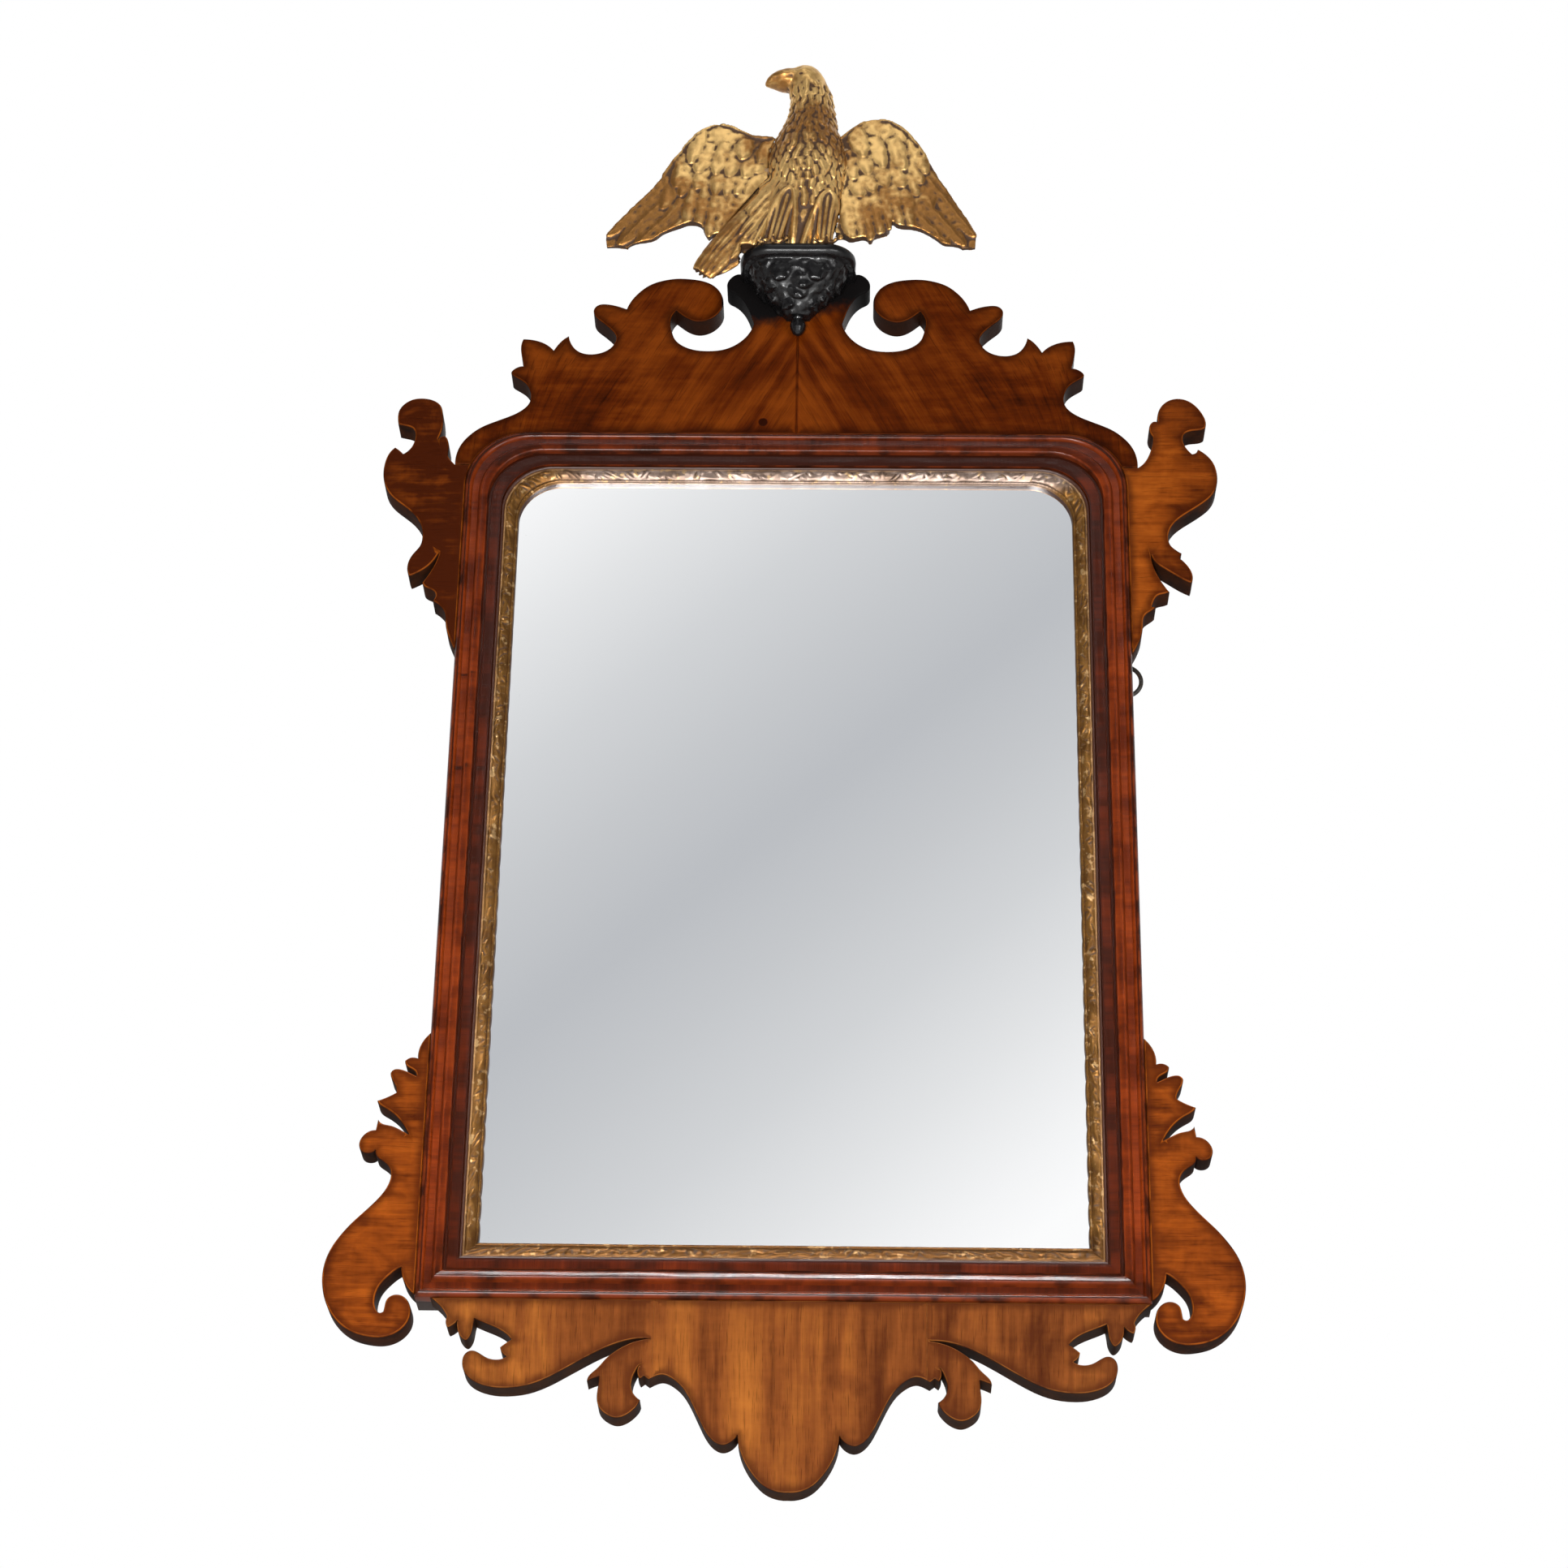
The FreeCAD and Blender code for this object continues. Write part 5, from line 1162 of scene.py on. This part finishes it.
# How far the carvings' ground is sunk below the solids, and how deep a cut is that looks dark.
WING_SINK = 0.0008
WING_CUT = 0.00022
BODY_SINK = 0.0010
BODY_CUT = 0.00030
BRACKET_CUT = 0.00034
WINGS = {
    "eagle_wing_left": (-1, LEFT_LEADING_SHARES, LEFT_TRAILING_SHARES),
    "eagle_wing_right": (1, RIGHT_LEADING_SHARES, RIGHT_TRAILING_SHARES),
}
for node, (side, leading, trailing) in WINGS.items():
    leaves = wing_leaves(node, side, leading, trailing)
    carved_piece(node, "gold", leaves, WING_SINK, 1, WING_CUT, tooled, side)
carved_piece("eagle_body", "gold", clear_head(body_leaves()), BODY_SINK, 1, BODY_CUT, body_cuts)


# Tiers of leaves on the bracket: height, reach from its back, number, and each leaf's length and width.
BRACKET_TIERS = (
    (0.4055, 0.032, 8, 0.013, 0.0105),
    (0.399, 0.029, 7, 0.012, 0.0095),
    (0.393, 0.023, 6, 0.011, 0.0085),
    (0.387, 0.017, 5, 0.009, 0.0070),
)
BRACKET_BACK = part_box("eagle_bracket")[1].y
BRACKET_LEAF_RISE = 0.0032
CAP_FOOT = 0.411
KNOB_RISE = 0.0008
KNOBS = 260.0


def bracket_leaves():
    """Curling leaves in tiers round the bracket, from under its cap down to the drop."""
    surface = surface_of("eagle_bracket")
    leaves = []
    for tier, (height, reach, count, length, width) in enumerate(BRACKET_TIERS):
        for index in range(count):
            turn = math.pi * (index + 0.5 + 0.25 * (tier % 2)) / count
            outward = Vector((math.cos(turn), -math.sin(turn), 0.0))
            near = Vector((0.0, BRACKET_BACK, height)) + outward * reach
            lean = 0.8 if index % 2 else -0.8
            towards = Vector((lean * math.sin(turn), lean * math.cos(turn), -1.0))
            leaves.append(Leaf(surface, near, towards, length, width, BRACKET_LEAF_RISE, tuck=0.1))
    return leaves


def knobbly(points, normals, height):
    """Uneven hand carving below the bracket's cap."""
    rough = np.array([noise.noise(Vector(point) * KNOBS) for point in points])
    below = np.clip((CAP_FOOT - points[:, 2]) / (2.0 * MM), 0.0, 1.0)
    front = np.clip((BRACKET_BACK - 0.5 * MM - points[:, 1]) / MM, 0.0, 1.0)
    return height + rough * KNOB_RISE * below * front


carved_piece("eagle_bracket", "ebony", bracket_leaves(), 0.0, 0, BRACKET_CUT, knobbly)


def frame_place(side, inset, up, share):
    """Places on one length of the frame: in from its edge, up from its core, a share of the way along."""
    radius = CORNER_RADIUS - CORNER_SLOPE * inset
    wide = HALF_WIDE - inset
    tall = HALF_TALL - inset
    if side == "bottom":
        x, z = wide * (2.0 * share - 1.0), -tall
    elif side == "top":
        x, z = (wide - radius) * (2.0 * share - 1.0), tall
    else:
        turn = share * math.pi / 2
        x, z = wide, -tall + share * (2.0 * tall - radius)
        if side.startswith("corner"):
            x, z = wide - radius * (1.0 - np.cos(turn)), tall - radius * (1.0 - np.sin(turn))
        x = -x if side.endswith("left") else x
    return np.stack(np.broadcast_arrays(x, CORE_FRONT - up, z), axis=-1)


def side_run(side):
    """About how long one length of the frame is."""
    if side.startswith("corner"):
        return CORNER_RADIUS * math.pi / 2
    return 2.0 * (HALF_WIDE if side in ("top", "bottom") else HALF_TALL) - CORNER_RADIUS


SWEEP_CREASE = math.radians(42)


def turned_out(vertices, faces):
    """The faces of a closed piece, all turned to face outwards."""
    middle = vertices.mean(axis=0)
    volume = 0.0
    for face in faces:
        corners = vertices[face] - middle
        for index in range(1, len(face) - 1):
            volume += corners[0] @ np.cross(corners[index], corners[index + 1])
    return faces if volume > 0.0 else [face[::-1] for face in faces]


def swept_piece(node, side, finish, inset, up, marks):
    """A length of moulding: its front as a grid of insets and heights, closed by a flat back and two ends."""
    stations, count = up.shape
    share = np.linspace(0.0, 1.0, stations)[:, None]
    inset = np.broadcast_to(inset, up.shape)
    inset = np.hstack([inset, inset[:, [-1, 0]]])
    vertices = frame_place(side, inset, np.hstack([up, np.zeros((stations, 2))]), share).reshape(-1, 3)
    ring = count + 2
    faces = []
    for station in range(stations - 1):
        first = station * ring
        for corner in range(ring):
            after = (corner + 1) % ring
            faces.append([first + corner, first + after, first + ring + after, first + ring + corner])
    faces.append(list(range(ring))[::-1])
    faces.append(list(range((stations - 1) * ring, stations * ring)))
    spread = {}
    for mark, values in marks.items():
        values = np.hstack([np.broadcast_to(values, up.shape), np.zeros((stations, 2))])
        spread[mark] = values.ravel().tolist()
    faces = turned_out(vertices, faces)
    made = piece(node + "_sweep", vertices.tolist(), faces, finish, [node], spread)
    made.data.set_sharp_from_angle(angle=SWEEP_CREASE)


def smooth_line(corners, step):
    """Points on smooth runs through corners, with the runs meeting sharply at repeated corners."""
    places = []
    runs = [[]]
    for corner in corners:
        runs[-1].append(corner)
        if len(runs[-1]) > 1 and corner == runs[-1][-2]:
            runs[-1].pop()
            runs.append([corner])
    for run in runs:
        run = np.array(run)
        ahead = np.vstack([2 * run[0] - run[1], run, 2 * run[-1] - run[-2]])
        for index in range(len(run) - 1):
            p0, p1, p2, p3 = ahead[index:index + 4]
            pieces = max(1, round(np.linalg.norm(p2 - p1) / step))
            for part in np.arange(pieces) / pieces:
                bend = (2 * p0 - 5 * p1 + 4 * p2 - p3) * part ** 2 + (3 * p1 - p0 - 3 * p2 + p3) * part ** 3
                places.append(p1 + 0.5 * ((p2 - p0) * part + bend))
    places.append(np.array(corners[-1]))
    return np.array(places).T * MM


# Fronts in millimetres: in from the frame's outer edge, and up from its core. A corner given twice is sharp.
MOULDING_FRONT = [
    (0.0, 7.4), (0.3, 8.5), (1.2, 9.8), (2.6, 10.5), (3.9, 10.1), (4.8, 9.0), (5.1, 8.4), (5.1, 8.4),
    (7.0, 8.4), (9.0, 8.5), (9.0, 8.5), (10.2, 11.2), (11.0, 12.3), (11.8, 12.6), (11.8, 12.6), (13.4, 12.2),
    (15.0, 11.7), (15.0, 11.7), (15.5, 11.0), (15.6, 9.6), (15.6, 9.6), (15.9, 7.9), (15.9, 7.9),
    (17.4, 7.9), (17.4, 7.9), (17.7, 8.4), (17.7, 8.4), (20.0, 8.4), (22.0, 8.4), (24.0, 8.2),
]
SLIP_FRONT = [
    (24.0, 5.4), (24.2, 6.2), (24.9, 6.6), (25.7, 6.3), (26.1, 5.5), (26.1, 5.5), (26.9, 5.4), (26.9, 5.4),
    (28.4, 5.5), (30.0, 5.2), (31.6, 4.6), (33.0, 3.8), (33.0, 3.8), (33.5, 4.2), (34.2, 4.2), (34.8, 3.6),
    (35.0, 2.9),
]
# The mouldings' and the slip's mesh steps across in millimetres and along in metres, and how uneven they are.
MOULDING_STEP = 0.5
MOULDING_STATION = 0.004
MOULDING_WOBBLE = 0.00012
SLIP_STEP = 0.42
SLIP_STATION = 0.0007
SLIP_WOBBLE = 0.0002
# The slip's carved field and the beads beside it, in from the frame's outer edge, and its inner scallops.
FIELD_START = 0.0268
FIELD_END = 0.0331
FIELD_EASE = 0.0006
BEAD_END = 0.0348
BEAD_PITCH = 0.0034
BEAD_RISE = 0.00018
SCALLOP = 0.017
SCALLOP_DEEP = 0.0009
SCALLOP_EASE = 0.0012
SLIP_CUT = 0.00020
# The least and the most of the sizes of the slip's small leaves, with their turn in radians.
LEAF_PITCH = 0.0026, 0.0060
LEAF_PLACE_SHARES = 0.12, 0.88
LEAF_TURN = -0.95, 0.95
LEAF_LONG = 0.0024, 0.0058
LEAF_SHORT = 0.0010, 0.0020
LEAF_RISE = 0.00030, 0.00090
LEAF_SPREAD = 0.010


def wobble(side, inset, share, size):
    """The small unevenness of planing by hand."""
    seed = 7.0 * len(side)
    places = [[Vector((seed + along * 21.0, place * 260.0, 0.5)) for place in inset] for along in share]
    return np.array([[noise.noise(place) for place in row] for row in places]) * size


def slip_relief(side, inset, share):
    """Small uneven leaves and curls along the slip's field."""
    chance = random.Random(len(side) * 3 + ord(side[-1]))
    length = side_run(side)
    run = (share * length)[:, None]
    relief = np.zeros((len(share), len(inset)))
    place = 0.0
    while place < length:
        place += chance.uniform(*LEAF_PITCH)
        across = FIELD_START + (FIELD_END - FIELD_START) * chance.uniform(*LEAF_PLACE_SHARES)
        turn = chance.uniform(*LEAF_TURN)
        long = chance.uniform(*LEAF_LONG)
        short = chance.uniform(*LEAF_SHORT)
        high = chance.uniform(*LEAF_RISE)
        near = np.abs(share * length - place) < LEAF_SPREAD
        ahead, aside = run[near] - place, inset[None, :] - across
        first = (ahead * math.cos(turn) + aside * math.sin(turn)) / long
        second = (aside * math.cos(turn) - ahead * math.sin(turn)) / short
        relief[near] = np.maximum(relief[near], high * np.exp(-first ** 2 - second ** 2))
    opening = np.clip((inset - FIELD_START) / FIELD_EASE, 0.0, 1.0)
    closing = np.clip((FIELD_END - inset) / FIELD_EASE, 0.0, 1.0)
    beaded = (inset > FIELD_END) & (inset < BEAD_END)
    beads = BEAD_RISE * np.abs(np.sin(run * math.pi / BEAD_PITCH)) * beaded
    ends = np.clip(np.minimum(share, 1.0 - share) * length / MM, 0.0, 1.0)[:, None]
    return (relief * opening * closing + beads) * ends


def grid_hollows(up):
    """How far each point of a grid lies below the carving round it, from 0 to 1."""
    around = up
    for turn in range(10):
        padded = np.pad(around, 1, mode="edge")
        beside = padded[1:-1, :-2] + padded[1:-1, 2:] + padded[:-2, 1:-1] + padded[2:, 1:-1]
        around = 0.5 * around + 0.125 * beside
    return np.clip((around - up) / SLIP_CUT + 0.25, 0.0, 1.0)


def scalloped(side, inset, share):
    """The slip's insets, with shallow scallops along the inner edges of its sides, deepest at the foot."""
    arches = max(1, round(side_run(side) / SCALLOP))
    bulge = np.sqrt(np.abs(np.sin(share * arches * math.pi)))[:, None]
    deep = SCALLOP_DEEP * (1.0 - share[:, None]) if side in ("left", "right") else 0.0
    return inset - deep * (1.0 - bulge) * np.clip((inset - FIELD_END) / SCALLOP_EASE, 0.0, 1.0)


moulding_inset, moulding_up = smooth_line(MOULDING_FRONT, MOULDING_STEP)
slip_inset, slip_up = smooth_line(SLIP_FRONT, SLIP_STEP)
for side in ("left", "right", "top", "bottom", "corner_left", "corner_right"):
    finish = "moulding_level" if side in ("top", "bottom") else "moulding_upright"
    share = np.linspace(0.0, 1.0, round(side_run(side) / MOULDING_STATION))
    up = moulding_up + wobble(side, moulding_inset, share, MOULDING_WOBBLE)
    marks = {"inset": moulding_inset / MOULDING_WIDE}
    swept_piece("moulding_" + side, side, finish, moulding_inset, up, marks)
    share = np.linspace(0.0, 1.0, round(side_run(side) / SLIP_STATION))
    relief = slip_relief(side, slip_inset, share)
    up = slip_up + relief + wobble(side, slip_inset, share, SLIP_WOBBLE)
    marks = {"hollow": grid_hollows(relief), "inset": slip_inset / MOULDING_WIDE}
    swept_piece("slip_" + side, side, "slip", scalloped(side, slip_inset, share), up, marks)


# Studio lights: name, place, what it points at, width, height, spread in degrees and power in watts.
LIGHTS = (
    ("key_light", (-0.30, -2.15, -1.05), (0.0, 0.0, 0.0), 0.5, 0.5, 180.0, 60.0),
    ("fill_light", (1.10, -1.90, -0.70), (0.0, 0.0, 0.0), 0.9, 0.9, 180.0, 26.0),
    ("top_light", (0.0, -2.4, 2.5), (0.0, 0.0, 0.0), 1.3, 1.3, 180.0, 9.0),
    ("back_light", (0.5, 2.0, 1.2), (0.0, 0.0, 0.0), 1.4, 1.4, 180.0, 26.0),
    ("bar_light", (0.0, -2.4, 2.5), (0.0, -0.04, -0.30), 1.6, 0.4, 10.0, 1.9),
)
FLOOR_SIZE = 14.0
FLOOR_DROP = 1.25
FLOOR_TONE = (0.86, 0.86, 0.85)
CARD_AT = (-0.05, -2.6, 1.25)
CARD_SIZE = (0.86, 1.24, 1.0)
# The card's brightness, from the dark band across its middle out to its corners.
CARD_TONES = (
    (0.02, (0.525, 0.540, 0.566)),
    (0.2, (0.585, 0.598, 0.618)),
    (0.4, (0.668, 0.680, 0.696)),
    (0.6, (0.795, 0.803, 0.812)),
    (0.8, (0.945, 0.948, 0.952)),
    (0.9, (1.01, 1.01, 1.01)),
)


def make_stage():
    """A pale floor well below the mirror, soft studio lights, and the card that the glass reflects."""
    bpy.ops.mesh.primitive_plane_add(size=FLOOR_SIZE, location=(0.0, 0.0, cad_box[0].z - FLOOR_DROP))
    floor = bpy.context.object
    floor.name = "studio_floor"
    pale = Finish("studio_floor")
    floor.data.materials.append(pale.set({"Base Color": FLOOR_TONE, "Roughness": 0.7}))

    bpy.ops.mesh.primitive_plane_add(size=1.0, location=CARD_AT, rotation=(math.pi / 2, 0.0, 0.0))
    card = bpy.context.object
    card.name = "studio_card"
    card.scale = CARD_SIZE
    glow = Finish("studio_card")
    x, y, z = glow.place()
    aside = abs(x * 0.76 - y * 1.21 + 0.053)
    card.data.materials.append(glow.set({
        "Base Color": (0.0, 0.0, 0.0),
        "Roughness": 1.0,
        "Specular IOR Level": 0.0,
        "Emission Color": glow.ramp(aside, *CARD_TONES),
        "Emission Strength": 1.0,
    }))
    card.visible_camera = False
    card.visible_shadow = False

    for name, place, target, wide, tall, spread, power in LIGHTS:
        data = bpy.data.lights.new(name, "AREA")
        data.shape = "RECTANGLE"
        data.size = wide
        data.size_y = tall
        data.spread = math.radians(spread)
        data.energy = power
        light = bpy.data.objects.new(name, data)
        light.location = place
        light.rotation_euler = (Vector(target) - Vector(place)).to_track_quat("-Z", "Y").to_euler()
        bpy.context.scene.collection.objects.link(light)


class Surround(Finish):
    """The light that comes from all round, made of nodes as a finish is."""

    def __init__(self, name):
        self.world = bpy.data.worlds.new(name)
        self.world.use_nodes = True
        self.tree = self.world.node_tree
        self.shader = self.tree.nodes["Background"]


REAR_TONE = (0.16, 0.16, 0.165)
WHITE = (1.0, 1.0, 1.0)


def make_world():
    """White behind the mirror, where the camera looks, and greyer behind the camera."""
    surround = Surround("studio_world")
    where = surround.node("ShaderNodeTexCoord", None, None, "Generated")
    ahead = surround.node("ShaderNodeSeparateXYZ", None, {0: where}, "Y")
    tone = surround.ramp(ahead * 0.5 + 0.5, (0.30, REAR_TONE), (0.62, WHITE))
    surround.feed(surround.shader.inputs["Color"], tone)
    bpy.context.scene.world = surround.world


def make_camera():
    """The photograph's camera."""
    data = bpy.data.cameras.new("photo_camera")
    data.sensor_width = 36.0
    data.lens = CAMERA_LENS
    data.clip_start = 0.01
    camera = bpy.data.objects.new("photo_camera", data)
    ahead = Vector((
        math.sin(CAMERA_YAW) * math.cos(CAMERA_PITCH),
        math.cos(CAMERA_YAW) * math.cos(CAMERA_PITCH),
        math.sin(CAMERA_PITCH),
    ))
    right = Vector((math.cos(CAMERA_YAW), -math.sin(CAMERA_YAW), 0.0))
    up = right.cross(ahead)
    across = math.cos(CAMERA_ROLL) * right + math.sin(CAMERA_ROLL) * up
    above = math.cos(CAMERA_ROLL) * up - math.sin(CAMERA_ROLL) * right
    turn = Matrix((across, above, -ahead)).transposed()
    camera.matrix_world = Matrix.Translation(CAMERA_AT) @ turn.to_4x4()
    bpy.context.scene.collection.objects.link(camera)
    bpy.context.scene.camera = camera


make_stage()
make_world()
make_camera()
bpy.context.scene.view_settings.view_transform = "Standard"
